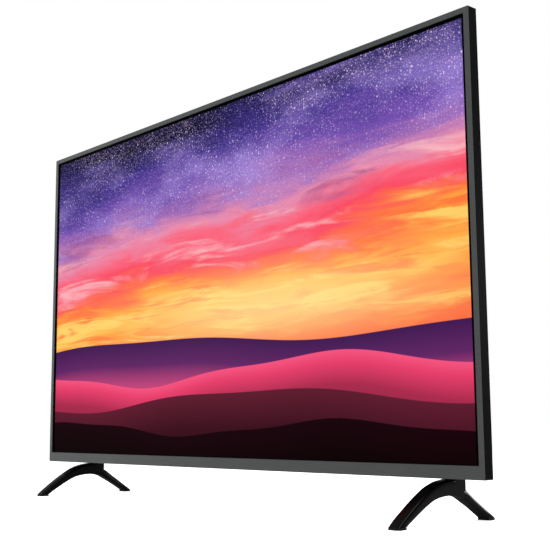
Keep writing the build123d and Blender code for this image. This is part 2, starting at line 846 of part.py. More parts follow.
with BuildPart() as hdmi_ports:
    with BuildSketch(at_side(recess_x)):
        with Locations(*[(hdmi_centre, z) for z in hdmi_zs]):
            Rectangle(hdmi_thickness, hdmi_width)
    extrude(amount=-hdmi_length)
    with BuildSketch(at_height(recess_sill)):
        with Locations((down_hdmi_x, hdmi_centre)):
            Rectangle(hdmi_width, hdmi_thickness)
    extrude(amount=hdmi_length)
    with BuildSketch(at_side(recess_x)):
        with Locations(*[(hdmi_centre, z) for z in hdmi_zs]):
            Rectangle(hdmi_thickness - 2 * hdmi_shell, hdmi_width - 2 * hdmi_shell)
            Rectangle(hdmi_tongue, hdmi_tongue_width, mode=Mode.SUBTRACT)
    extrude(amount=-(hdmi_length - 2 * hdmi_tongue), mode=Mode.SUBTRACT)
    with BuildSketch(at_height(recess_sill)):
        with Locations((down_hdmi_x, hdmi_centre)):
            Rectangle(hdmi_width - 2 * hdmi_shell, hdmi_thickness - 2 * hdmi_shell)
            Rectangle(hdmi_tongue_width, hdmi_tongue, mode=Mode.SUBTRACT)
    extrude(amount=hdmi_length - 2 * hdmi_tongue, mode=Mode.SUBTRACT)

with BuildPart() as usb_ports:
    with BuildSketch(at_side(recess_x)):
        with Locations(*[(usb_centre, z) for z in usb_zs]):
            Rectangle(usb_thickness, usb_width)
    extrude(amount=-usb_length)
    with BuildSketch(at_side(recess_x)):
        for z in usb_zs:
            low = usb_centre - usb_thickness / 2 + usb_shell
            high = usb_centre + usb_thickness / 2 - usb_shell
            span(low, high - usb_tongue, z - usb_width / 2 + usb_shell, z + usb_width / 2 - usb_shell)
    extrude(amount=-(usb_length - usb_tongue), mode=Mode.SUBTRACT)

with BuildPart() as audio_jack:
    with BuildSketch(at_side(recess_x - jack_nose_length)):
        with Locations((jack_centre, jack_z)):
            Rectangle(jack_thickness, jack_width)
    extrude(amount=jack_nose_length - jack_length)
    with BuildSketch(at_side(recess_x)):
        with Locations((jack_centre, jack_z)):
            Circle(jack_nose_radius)
    extrude(amount=-jack_nose_length)
    with BuildSketch(at_side(recess_x)):
        with Locations((jack_centre, jack_z)):
            Circle(jack_bore_radius)
    extrude(amount=-jack_length + jack_bore_radius, mode=Mode.SUBTRACT)

# Sockets that face down on the main board's bottom edge
with BuildPart() as lan_port:
    with BuildSketch(at_height(recess_sill)):
        with Locations((lan_x, lan_centre)):
            Rectangle(lan_width, lan_thickness)
    extrude(amount=lan_length)
    with BuildSketch(at_height(recess_sill)):
        with Locations((lan_x, lan_centre)):
            Rectangle(lan_width - 2 * lan_wall, lan_thickness - 2 * lan_wall)
    extrude(amount=lan_cavity_depth, mode=Mode.SUBTRACT)

with BuildPart() as tuner:
    tuner_face = main_board_bottom + part_gap
    with BuildSketch(at_height(tuner_face)):
        with Locations((tuner_x, tuner_centre)):
            Rectangle(tuner_width, tuner_thickness)
    extrude(amount=tuner_length)
    with BuildSketch(at_height(recess_sill - tuner_bore_depth / 2)):
        with Locations((tuner_x, tuner_centre)):
            Circle(tuner_nose_radius)
    extrude(until=Until.NEXT)
    with BuildSketch(at_height(recess_sill - tuner_bore_depth / 2)):
        with Locations((tuner_x, tuner_centre)):
            Circle(tuner_bore_radius)
            Circle(tuner_pin_radius, mode=Mode.SUBTRACT)
    extrude(amount=tuner_bore_depth, mode=Mode.SUBTRACT)

# Plate with a cut-out for each socket, behind the cover's recess
plate_x = recess_x - cover_wall
plate_z = recess_sill + cover_wall
plate_left = main_board_x - main_board_width / 2 + part_gap
plate_top = main_board_bottom + main_board_height - board_hole_inset
plate_front = board_depth - nest_gap - cut_overrun
plate_back = board_back_depth + lan_thickness + part_gap
with BuildPart() as terminal_plate:
    with BuildSketch(at_depth(plate_back)):
        span(plate_x - plate_thickness, plate_x, plate_z, plate_top)
        span(plate_left, plate_x, plate_z, plate_z + plate_thickness)
    extrude(amount=plate_back - plate_front)
    with BuildSketch(at_side(plate_x)):
        with Locations(*[(hdmi_centre, z) for z in hdmi_zs]):
            Rectangle(hdmi_thickness + 2 * nest_gap, hdmi_width + 2 * nest_gap)
        with Locations(*[(usb_centre, z) for z in usb_zs]):
            Rectangle(usb_thickness + 2 * nest_gap, usb_width + 2 * nest_gap)
        with Locations((jack_centre, jack_z)):
            Circle(jack_nose_radius + nest_gap)
    extrude(amount=-plate_thickness, mode=Mode.SUBTRACT)
    with BuildSketch(at_height(plate_z)):
        with Locations((down_hdmi_x, hdmi_centre)):
            Rectangle(hdmi_width + 2 * nest_gap, hdmi_thickness + 2 * nest_gap)
        with Locations((lan_x, lan_centre)):
            Rectangle(lan_width + 2 * nest_gap, lan_thickness + 2 * nest_gap)
        with Locations((tuner_x, tuner_centre)):
            Circle(tuner_nose_radius + nest_gap)
    extrude(amount=plate_thickness, mode=Mode.SUBTRACT)

# Mains inlet on the power board's bottom edge, with its two pins
inlet_x = power_board_x - inlet_share * power_board_width
inlet_centre = board_back_depth + inlet_thickness / 2
with BuildPart() as ac_inlet:
    with BuildSketch(at_height(recess_sill)):
        with Locations((inlet_x, inlet_centre)):
            Rectangle(inlet_width, inlet_thickness)
    extrude(amount=inlet_length)
    with BuildSketch(at_height(recess_sill)):
        with Locations((inlet_x, inlet_centre)):
            SlotOverall(inlet_cavity_width, inlet_cavity_thickness)
    extrude(amount=inlet_cavity_depth, mode=Mode.SUBTRACT)

with BuildPart() as ac_inlet_pins:
    with BuildSketch(at_height(recess_sill + inlet_cavity_depth)):
        with Locations((inlet_x, inlet_centre)):
            with GridLocations(inlet_pin_spacing, inlet_pin_radius, 2, 1):
                Circle(inlet_pin_radius)
    extrude(amount=-inlet_pin_length)

# Flat cables: main board to timing board, and timing board to the drive boards
ribbon_front = tray_back_depth + ribbon_thickness / 2
ribbon_back = board_back_depth + ribbon_thickness / 2
timing_edge = timing_board_width / 2
main_edge = main_board_x - main_board_width / 2
ribbon_lap = board_hole_inset
level = at_height(0)
timing_ribbon_path = [
    (timing_edge - ribbon_lap, ribbon_back),
    (timing_edge + standoff_height, ribbon_back),
    (timing_edge + 2 * standoff_height, ribbon_front),
    (main_edge - 2 * standoff_height, ribbon_front),
    (main_edge - standoff_height, ribbon_back),
    (main_edge + ribbon_lap, ribbon_back),
]
timing_bottom = timing_board_centre - timing_board_height / 2
drive_board_top = drive_board_bottom + drive_board_height
drive_ribbon_back = drive_board_back + ribbon_thickness / 2
drive_ribbon_path = [
    (ribbon_back, timing_bottom + ribbon_lap),
    (ribbon_back, timing_bottom - standoff_height),
    (ribbon_front, timing_bottom - 2 * standoff_height),
    (ribbon_front, drive_board_top + 2 * ribbon_bend),
    (drive_ribbon_back, drive_board_top + ribbon_bend),
    (drive_ribbon_back, drive_board_top - drive_ribbon_share * drive_board_height),
]
drive_ribbon_x = drive_board_start + ribbon_width / 2
with BuildPart() as timing_ribbons:
    add(ribbon(level, timing_ribbon_path, ribbon_bend, ribbon_thickness, ribbon_width / 2,
               timing_board_centre))
    for side in (-1, 1):
        add(ribbon(at_side(0), drive_ribbon_path, ribbon_thickness, ribbon_thickness, ribbon_width,
                   side * drive_ribbon_x))

# Power harness to the main board, and the lamp harness through the tray
harness_front = tray_back_depth + harness_thickness / 2
harness_back = board_back_depth + harness_thickness / 2
power_edge = power_board_x + power_board_width / 2
harness_lap = 2 * board_hole_inset
harness_z = timing_board_centre + harness_drop + harness_share * timing_board_height
with BuildPart() as power_harness:
    add(ribbon(level, [(power_edge - harness_lap, harness_back), (power_edge + standoff_height, harness_back),
                       (power_edge + 2 * standoff_height, harness_front),
                       (main_edge - 2 * standoff_height, harness_front),
                       (main_edge - standoff_height, harness_back), (main_edge + harness_lap, harness_back)],
               harness_bend, harness_thickness, harness_width, harness_z))

led_harness_z = screen_centre - led_pitch_z / 2
with BuildPart() as led_harness:
    add(ribbon(level, [(power_edge - harness_lap, harness_back), (power_edge + standoff_height, harness_back),
                       (power_edge + 2 * standoff_height, harness_front), (harness_hole_x, harness_front)],
               harness_bend, harness_thickness, harness_width / 2, led_harness_z))
    with BuildSketch(at_depth(tray_back_depth + harness_thickness)):
        with Locations((harness_hole_x, led_harness_z)):
            Rectangle(harness_width - 2 * nest_gap, harness_width - 2 * nest_gap)
    extrude(amount=harness_thickness + chassis_sheet)

# Speaker wires, from the main board down to each speaker
wire_depth = board_back_depth + speaker_wire_radius + slip_gap
wire_start_z = main_board_bottom + harness_lap
wire_x = main_edge - harness_lap
wire_level = speaker_bottom + speaker_height / 2
with BuildPart() as speaker_wires:
    for side, rise in ((1, wire_start_z), (-1, wire_start_z + 2 * harness_lap)):
        with BuildLine(at_depth(wire_depth)) as route:
            if side > 0:
                FilletPolyline((main_edge + harness_lap, rise), (wire_x, rise), (wire_x, wire_level),
                               (speaker_x - speaker_length / 2, wire_level), radius=speaker_wire_bend)
            else:
                FilletPolyline((main_edge + harness_lap, rise), (wire_x - harness_lap, rise),
                               (wire_x - harness_lap, speaker_wire_height),
                               (-wire_x, speaker_wire_height), (-wire_x, wire_level),
                               (speaker_length / 2 - speaker_x, wire_level), radius=speaker_wire_bend)
        with BuildSketch(Plane(origin=route.line @ 0, z_dir=route.line % 0)):
            Circle(speaker_wire_radius)
        sweep(path=route.line)

# Speakers: a box, and in its floor a driver with its magnet, basket, cone and rubber surround
speaker_box_back = speaker_front + speaker_thickness
ear_back = speaker_front + stud_reach - 2 * grommet_lip
rim_level = speaker_bottom - basket_rim
surround_level = rim_level - surround_thickness
cone_level = surround_level + surround_rise
magnet_level = speaker_bottom + basket_depth
coil_level = magnet_level + coil_share * magnet_thickness
pole_radius = coil_radius - coil_wall - pole_gap
magnet_bore = coil_radius + pole_gap


def driver_plane(side):
    """The upright plane through a driver's axis, level with its box's floor."""
    origin = (side * speaker_x, front_y + speaker_centre_depth, cabinet_z)
    return Plane(origin=origin, x_dir=(1, 0, 0), z_dir=(0, -1, 0))


def turned(side, points):
    """A ring or disc about a driver's axis, from its half section as radius and height."""
    plane = driver_plane(side)
    with BuildPart() as ring:
        with BuildSketch(plane):
            with BuildLine():
                Polyline(*points, close=True)
            make_face()
        revolve(axis=Axis(plane.origin, (0, 0, 1)))
    return ring.part


def speaker_box(side):
    """The hollow box, with its hung ears and the driver's hole."""
    ear_x = speaker_length / 2 + ear_width
    with BuildPart() as box:
        with BuildSketch(at_depth(speaker_box_back)):
            with Locations((side * speaker_x, speaker_bottom + speaker_height / 2)):
                Rectangle(speaker_length, speaker_height)
        extrude(amount=speaker_thickness)
        with BuildSketch(at_depth(ear_back)):
            with Locations((side * speaker_x, speaker_top - ear_height / 2)):
                Rectangle(2 * ear_x, ear_height)
        extrude(amount=ear_thickness)
        with BuildSketch(at_depth(speaker_box_back - speaker_wall)):
            with Locations((side * speaker_x, speaker_bottom + speaker_height / 2)):
                Rectangle(speaker_length - 2 * speaker_wall, speaker_height - 2 * speaker_wall)
        extrude(amount=speaker_thickness - 2 * speaker_wall, mode=Mode.SUBTRACT)
        with BuildSketch(at_depth(ear_back)):
            with Locations(*[(x, stud_z) for x in stud_xs]):
                Circle(grommet_hole_radius)
        extrude(amount=ear_thickness, mode=Mode.SUBTRACT)
        with BuildSketch(at_height(speaker_bottom)):
            with Locations((side * speaker_x, speaker_centre_depth)):
                Circle(basket_cup_radius + slip_gap)
        extrude(amount=speaker_wall, mode=Mode.SUBTRACT)
    return box.part


basket_section = [
    (basket_cup_radius - basket_sheet, rim_level), (basket_radius, rim_level),
    (basket_radius, speaker_bottom), (basket_cup_radius, speaker_bottom),
    (basket_cup_radius, magnet_level), (magnet_bore, magnet_level),
    (magnet_bore, magnet_level - basket_sheet),
    (basket_cup_radius - basket_sheet, magnet_level - basket_sheet),
]
magnet_section = [
    (magnet_bore, magnet_level), (magnet_radius, magnet_level),
    (magnet_radius, magnet_level + magnet_thickness), (0, magnet_level + magnet_thickness),
    (0, magnet_level), (pole_radius, magnet_level),
    (pole_radius, magnet_level + pole_share * magnet_thickness),
    (magnet_bore, magnet_level + pole_share * magnet_thickness),
]
cone_section = [
    (cone_radius + cone_lip, cone_level), (cone_radius + cone_lip, cone_level + cone_sheet),
    (cone_radius, cone_level + cone_sheet), (coil_radius, cone_level + cone_depth),
    (coil_radius, coil_level), (coil_radius - coil_wall, coil_level),
    (coil_radius - coil_wall, cone_level + cone_depth), (0, cone_level + cone_depth),
    (0, cone_level + cone_depth - cone_sheet), (coil_radius, cone_level + cone_depth - cone_sheet),
    (cone_radius - cone_sheet, cone_level),
]
surround_section = [
    (basket_radius, surround_level), (basket_radius, rim_level),
    (basket_cup_radius - basket_sheet, rim_level), (cone_radius + cone_lip, cone_level),
    (cone_radius, cone_level), (cone_radius, cone_level - surround_thickness),
    (basket_cup_radius - basket_sheet, surround_level),
]

with BuildPart() as right_speaker_box:
    add(speaker_box(1))

with BuildPart() as left_speaker_box:
    add(speaker_box(-1))

with BuildPart() as speaker_baskets:
    for side in (-1, 1):
        add(turned(side, basket_section))

with BuildPart() as speaker_magnets:
    for side in (-1, 1):
        add(turned(side, magnet_section))

with BuildPart() as right_speaker_cone:
    add(turned(1, cone_section))

with BuildPart() as left_speaker_cone:
    add(turned(-1, cone_section))

with BuildPart() as right_speaker_surround:
    add(turned(1, surround_section))

with BuildPart() as left_speaker_surround:
    add(turned(-1, surround_section))

# Rubber rings that hang the boxes on the chassis's studs
with BuildPart() as grommet:
    with BuildSketch(Plane.XZ):
        with BuildLine():
            Polyline((stud_radius + slip_gap, 0), (grommet_radius, 0), (grommet_radius, grommet_lip),
                     (grommet_hole_radius - slip_gap, grommet_lip),
                     (grommet_hole_radius - slip_gap, grommet_lip + ear_thickness),
                     (grommet_radius, grommet_lip + ear_thickness),
                     (grommet_radius, 2 * grommet_lip + ear_thickness),
                     (stud_radius + slip_gap, 2 * grommet_lip + ear_thickness), close=True)
        make_face()
    revolve(axis=Axis.Z)

with BuildPart(at_depth(ear_back + grommet_lip)) as speaker_grommets:
    with Locations(*[(x, stud_z) for x in stud_xs]):
        add(grommet.part)

# Remote receiver: a dark window flush in the rim's underside, and its board on top
with BuildPart() as receiver_window:
    window_centre = window_depth + window_length / 2
    with BuildSketch(at_height(0)):
        with Locations((0, window_centre)):
            Rectangle(window_width, window_length)
    extrude(amount=window_height)
    with BuildSketch(at_height(rim_wall)):
        with Locations((0, window_centre)):
            Rectangle(window_width + 2 * window_ear, window_length)
    extrude(amount=window_ear_thickness)

receiver_front = flange_depth + chassis_sheet + glass_gap
receiver_centre = receiver_front + receiver_board_length / 2
with BuildPart() as receiver_board:
    with BuildSketch(at_height(window_height)):
        with Locations((0, receiver_centre)):
            Rectangle(receiver_board_width, receiver_board_length)
    extrude(amount=receiver_board_thickness)
    with BuildSketch(at_height(window_height + receiver_board_thickness)):
        with Locations((0, receiver_centre)):
            Rectangle(receiver_width, receiver_length)
    extrude(amount=receiver_height)

# Power button under the cover, the plunger it pushes, and the switch's board above
button_bottom = bulge_bottom - button_proud
button_top = button_bottom + button_height
cover_floor = bulge_bottom + cover_wall
switch_bottom = button_top + plunger_length - button_flange_thickness
button_board_level = switch_bottom + switch_height
button_boss_x = control_board_width / 2 - 2 * control_boss_radius
button_bosses = [(side * button_boss_x, button_depth) for side in (-1, 1)]
with BuildPart() as power_button:
    with BuildSketch(at_height(button_bottom)):
        with Locations((0, button_depth)):
            RectangleRounded(button_width, button_length, button_corner)
    extrude(amount=button_height)
    fillet(power_button.faces().sort_by(Axis.Z)[0].edges(), button_proud / 2)
    with BuildSketch(at_height(cover_floor + slip_gap)):
        with Locations((0, button_depth)):
            RectangleRounded(button_width + 2 * button_flange, button_length + 2 * button_flange,
                             button_corner)
    extrude(amount=button_flange_thickness)

with BuildPart() as switch_plunger:
    with BuildSketch(at_height(button_top)):
        with Locations((0, button_depth)):
            Circle(plunger_radius)
    extrude(amount=plunger_length)

with BuildPart() as button_board:
    with BuildSketch(at_height(button_board_level)):
        with Locations((0, button_depth)):
            Rectangle(control_board_width, control_board_length)
        with Locations(*button_bosses):
            Circle(board_screw_radius + slip_gap, mode=Mode.SUBTRACT)
    extrude(amount=board_thickness)
    with BuildSketch(at_height(switch_bottom)):
        with Locations((0, button_depth)):
            Rectangle(switch_side, switch_side)
    extrude(amount=switch_height)
    with BuildSketch(at_height(switch_bottom)):
        with Locations((0, button_depth)):
            Circle(plunger_radius + slip_gap)
    extrude(amount=switch_bore_depth, mode=Mode.SUBTRACT)

# Screws of all the boards
with BuildPart() as board_screws:
    with BuildSketch(at_depth(board_back_depth + board_screw_head)):
        with Locations(*board_holes):
            Circle(board_screw_head_radius)
    extrude(amount=board_screw_head)
    fillet(board_screws.edges().group_by(Axis.Y)[-1], board_screw_round)
    with BuildSketch(at_depth(board_back_depth)):
        with Locations(*board_holes):
            Circle(board_screw_radius)
    extrude(amount=board_thickness + board_screw_bite - slip_gap)
    with BuildSketch(at_height(button_board_level + board_thickness)):
        with Locations(*button_bosses):
            Circle(board_screw_head_radius)
    extrude(amount=board_screw_head)
    with BuildSketch(at_height(button_board_level + board_thickness)):
        with Locations(*button_bosses):
            Circle(board_screw_radius)
    extrude(amount=-control_screw_length)

# Threaded posts that the rear cover is screwed to
cover_flat_inside = cover_flat_depth - cover_wall
bulge_inside = bulge_depth - cover_wall
with BuildPart() as cover_posts:
    for places, end in ((upper_screws, cover_flat_inside), (lower_screws, bulge_inside)):
        with BuildSketch(at_depth(end)):
            with Locations(*places):
                Circle(cover_post_radius)
        extrude(amount=end - tray_back_depth)
        with BuildSketch(at_depth(end)):
            with Locations(*places):
                Circle(cover_screw_radius + slip_gap)
        extrude(amount=cover_screw_length, mode=Mode.SUBTRACT)

with BuildPart() as rear_cover_screws:
    for places, face in ((upper_screws, cover_flat_depth), (lower_screws, bulge_depth)):
        seat = face - cover_screw_sink
        with BuildSketch(at_depth(seat + cover_screw_head)):
            with Locations(*places):
                Circle(cover_screw_head_radius)
        extrude(amount=cover_screw_head)
        with BuildSketch(at_depth(seat)):
            with Locations(*places):
                Circle(cover_screw_radius)
        extrude(amount=cover_screw_length)

# Steel posts of the wall mount, flush with the cover's back
with BuildPart() as wall_mount_posts:
    with BuildSketch(at_depth(tray_back_depth + vesa_base_thickness)):
        with Locations(*vesa_places):
            Circle(vesa_base_radius)
    extrude(amount=vesa_base_thickness)
    with BuildSketch(at_depth(bulge_depth)):
        with Locations(*vesa_places):
            Circle(vesa_post_radius)
    extrude(amount=bulge_depth - tray_back_depth)
    with BuildSketch(at_depth(bulge_depth)):
        with Locations(*vesa_places):
            Circle(vesa_screw_radius)
    extrude(amount=vesa_screw_depth, mode=Mode.SUBTRACT)

# Feet: an arch with crowned outer edges, a post up into the cover, and a pad under each toe
tenon_back = tenon_depth + tenon_length
foot_floor = -foot_height
leg_floor = foot_floor + pad_thickness
leg_height = foot_height - pad_thickness
foot_screw_zs = [share * tenon_rise for share in foot_screw_shares]
front_outer = [(share * foot_front_reach, leg_floor + rise * leg_height)
               for share, rise in front_outer_shares]
arch = [(share * foot_front_reach, leg_floor + rise * leg_height) for share, rise in arch_shares]
rear_outer = [(share * foot_rear_reach, leg_floor + rise * leg_height) for share, rise in rear_outer_shares]
toe_front = (toe_front_length - foot_front_reach, leg_floor)
toe_rear = (foot_rear_reach - toe_rear_length, leg_floor)
crown_back = (tenon_back, leg_floor + foot_top_share * leg_height)


def foot(side):
    """One foot, standing on its pads."""
    with BuildPart() as stand:
        with BuildSketch(at_side(side * foot_x + foot_width / 2)):
            with BuildLine():
                Spline(*front_outer)
                Line(front_outer[-1], crown_back)
                Spline(crown_back, *reversed(rear_outer))
                Line(rear_outer[0], toe_rear)
                Spline(toe_rear, *reversed(arch), toe_front)
                Line(toe_front, front_outer[0])
            make_face()
        extrude(amount=-foot_width)
        arched = stand.edges().filter_by(GeomType.BSPLINE).group_by(SortBy.LENGTH)[-1]
        straight = stand.edges().filter_by(Axis.X) + stand.edges().filter_by(Axis.Y)
        chamfer(stand.edges() - arched - straight, foot_crown)
        post_root = crown_back[1] - foot_crown
        with BuildSketch(at_height(post_root)) as post:
            span(side * foot_x - foot_width / 2, side * foot_x + foot_width / 2, tenon_depth, tenon_back)
            chamfer(post.vertices(), tenon_edge)
        extrude(amount=tenon_rise - post_root)
        with BuildSketch(at_depth(tenon_back)):
            with Locations(*[(side * foot_x, z) for z in foot_screw_zs]):
                Circle(foot_screw_radius + slip_gap)
        extrude(amount=tenon_length, mode=Mode.SUBTRACT)
    return stand.part


with BuildPart() as right_foot:
    add(foot(1))

with BuildPart() as left_foot:
    add(foot(-1))

with BuildPart() as foot_pads:
    with BuildSketch(at_height(foot_floor)):
        for side in (-1, 1):
            left = side * foot_x - foot_width / 2
            span(left, left + foot_width, -foot_front_reach - pad_overhang, toe_front[0] + pad_overhang)
            span(left, left + foot_width, toe_rear[0] - pad_overhang, foot_rear_reach + pad_overhang)
    extrude(amount=pad_thickness)

# Steel brackets on the chassis that the feet are screwed to
bracket_bottom = cover_floor + part_gap
with BuildPart() as foot_brackets:
    with BuildSketch(at_height(bracket_bottom)):
        for side in (-1, 1):
            centre = side * foot_x
            wall = foot_width / 2 + nest_gap
            span(centre - bracket_half, centre + bracket_half, tray_back_depth,
                 tray_back_depth + bracket_sheet)
            span(centre - wall - bracket_sheet, centre - wall, tray_back_depth, tenon_back)
            span(centre + wall, centre + wall + bracket_sheet, tray_back_depth, tenon_back)
            span(centre - wall, centre + wall, tenon_depth - bracket_sheet, tenon_depth)
    extrude(amount=bracket_height)
    with BuildSketch(at_depth(tenon_depth)):
        with Locations(*[(side * foot_x, z) for side in (-1, 1) for z in foot_screw_zs]):
            Circle(foot_screw_radius + slip_gap)
    extrude(amount=bracket_sheet, mode=Mode.SUBTRACT)

foot_screw_places = [(side * foot_x, z) for side in (-1, 1) for z in foot_screw_zs]
with BuildPart() as foot_screws:
    foot_screw_seat = bulge_depth - cover_screw_sink
    with BuildSketch(at_depth(foot_screw_seat + foot_screw_head)):
        with Locations(*foot_screw_places):
            Circle(foot_screw_head_radius)
    extrude(amount=foot_screw_head)
    with BuildSketch(at_depth(foot_screw_seat)):
        with Locations(*foot_screw_places):
            Circle(foot_screw_radius)
    extrude(amount=foot_screw_seat - tenon_depth + bracket_sheet)

# Rear cover: a shallow dish with a deeper bulge low down, recessed at the sockets
slope_depth = cover_flat_depth - rim_depth
cover_side = cover_wall * hypot(cover_slope_run, slope_depth) / slope_depth


def cover_inset(depth):
    """How far the outside of the cover's sloping wall is drawn in at this depth."""
    return cover_reveal + cover_slope_run * (depth - rim_depth) / slope_depth


def bulge_outline(depth, wall):
    """The bulge's outline at this depth, drawn in by this wall, in the sketch at hand."""
    share = (depth - bulge_start_depth) / (bulge_depth - bulge_start_depth)
    half = cabinet_width / 2 - bulge_side_inset - bulge_side_draft * share - wall
    top = bulge_top - bulge_top_draft * share - wall
    span(-half, half, bulge_bottom + wall, top)


def recess_outlines(wall):
    """The outlines of the socket recesses, widened by this wall, in the sketch at hand."""
    span(recess_x - wall, cabinet_width / 2, recess_bottom - wall, recess_side_top + wall)
    span(recess_x - recess_reach - wall, cabinet_width / 2, recess_bottom - wall, recess_sill + wall)
    half = inlet_recess_width / 2 + wall
    span(inlet_x - half, inlet_x + half, recess_sill - inlet_recess_height - wall, recess_sill + wall)


with BuildPart() as cover_cavity:
    for depth in (rim_depth, cover_flat_inside):
        inset = cover_inset(depth) + cover_side
        with BuildSketch(at_depth(depth)):
            outline(inset, inset, inset)
    loft()
    for depth in (bulge_start_depth, bulge_inside):
        with BuildSketch(at_depth(depth)):
            bulge_outline(depth, cover_wall)
    loft()
    with BuildSketch(at_depth(bulge_depth)):
        recess_outlines(cover_wall)
    extrude(amount=bulge_depth - recess_floor_depth + cover_wall, mode=Mode.SUBTRACT)

with BuildPart() as rear_cover:
    for depth in (rim_depth, cover_flat_depth):
        inset = cover_inset(depth)
        with BuildSketch(at_depth(depth)):
            outline(inset, inset, inset)
    loft()
    for depth in (bulge_start_depth, bulge_depth):
        with BuildSketch(at_depth(depth)):
            bulge_outline(depth, 0)
    loft()
    with BuildSketch(at_depth(bulge_depth + cut_overrun)):
        recess_outlines(0)
    extrude(amount=bulge_depth + cut_overrun - recess_floor_depth, mode=Mode.SUBTRACT)
    add(cover_cavity.part, mode=Mode.SUBTRACT)
    with BuildSketch(at_depth(rim_depth)):
        outline(frame_outer_inset, frame_outer_inset, frame_outer_inset)
        tongue_inner = frame_outer_inset + cover_tongue_wall
        outline(tongue_inner, tongue_inner, tongue_inner, mode=Mode.SUBTRACT)
        span(-window_half, window_half, 0, 2 * tongue_inner, mode=Mode.SUBTRACT)
    extrude(amount=rim_depth - cover_tongue_start)
    with BuildSketch(at_depth(bulge_inside)):
        with Locations(*foot_screw_places):
            Circle(foot_boss_radius)
    extrude(amount=bulge_inside - tenon_back - nest_gap)
    with BuildSketch(at_height(cover_floor)):
        with Locations(*button_bosses):
            Circle(control_boss_radius)
    extrude(amount=button_board_level - cover_floor)
    with BuildSketch(at_height(button_board_level)):
        with Locations(*button_bosses):
            Circle(board_screw_radius + slip_gap)
    extrude(amount=-control_screw_length, mode=Mode.SUBTRACT)
    for places, face in ((upper_screws, cover_flat_depth), (lower_screws, bulge_depth)):
        with BuildSketch(at_depth(face)):
            with Locations(*places):
                Circle(cover_screw_head_radius + nest_gap)
        extrude(amount=cover_screw_sink, mode=Mode.SUBTRACT)
        with BuildSketch(at_depth(face)):
            with Locations(*places):
                Circle(cover_screw_radius + slip_gap)
        extrude(amount=cover_wall, mode=Mode.SUBTRACT)
    with BuildSketch(at_depth(bulge_depth)):
        with Locations(*foot_screw_places):
            Circle(foot_screw_head_radius + nest_gap)
    extrude(amount=cover_screw_sink, mode=Mode.SUBTRACT)
    with BuildSketch(at_depth(bulge_depth)):
        with Locations(*foot_screw_places):
            Circle(foot_screw_radius + slip_gap)
    extrude(amount=bulge_depth - tenon_back, mode=Mode.SUBTRACT)
    with BuildSketch(at_depth(bulge_depth)):
        with Locations(*vesa_places):
            Circle(vesa_post_radius + nest_gap)
    extrude(amount=cover_wall, mode=Mode.SUBTRACT)
    with BuildSketch(at_depth(cover_flat_depth)):
        with Locations((0, (bulge_top + tray_floor_top) / 2)):
            with GridLocations(vent_pitch, vent_row_pitch, vent_columns, vent_rows):
                SlotOverall(vent_length, vent_width)
    extrude(amount=cover_wall, mode=Mode.SUBTRACT)
    wall_vent_x = (vesa_spacing / 2 + bulge_back_half) / 2
    wall_vent_z = bulge_top - bulge_top_draft - wall_vent_rows * vent_row_pitch
    with BuildSketch(at_depth(bulge_depth)):
        with Locations((-wall_vent_x, wall_vent_z), (wall_vent_x, wall_vent_z)):
            with GridLocations(vent_pitch, vent_row_pitch, wall_vent_columns, wall_vent_rows):
                SlotOverall(vent_length, vent_width)
    extrude(amount=cover_wall, mode=Mode.SUBTRACT)
    with BuildSketch(at_height(bulge_bottom)):
        with Locations((-speaker_x, speaker_centre_depth), (speaker_x, speaker_centre_depth)):
            with GridLocations(grille_slot_pitch, grille_slot_length, grille_slots, 1):
                SlotOverall(grille_slot_length, grille_slot_width, rotation=90)
        with Locations((0, button_depth)):
            RectangleRounded(button_width + 2 * nest_gap, button_length + 2 * nest_gap, button_corner)
        for side in (-1, 1):
            half = foot_width / 2 + nest_gap
            span(side * foot_x - half, side * foot_x + half, tenon_depth - nest_gap, tenon_back + nest_gap)
    extrude(amount=cover_wall, mode=Mode.SUBTRACT)
    window_low = board_back_depth - nest_gap
    window_high = plate_back - part_gap + nest_gap
    with BuildSketch(at_side(recess_x)):
        span(window_low, window_high, plate_z + 2 * part_gap, plate_top - part_gap)
    extrude(amount=-cover_wall, mode=Mode.SUBTRACT)
    with BuildSketch(at_height(recess_sill)):
        span(plate_left + part_gap, plate_x - 2 * part_gap, window_low, window_high)
        with Locations((inlet_x, inlet_centre)):
            Rectangle(inlet_width + 2 * nest_gap, inlet_thickness + 2 * nest_gap)
    extrude(amount=cover_wall, mode=Mode.SUBTRACT)

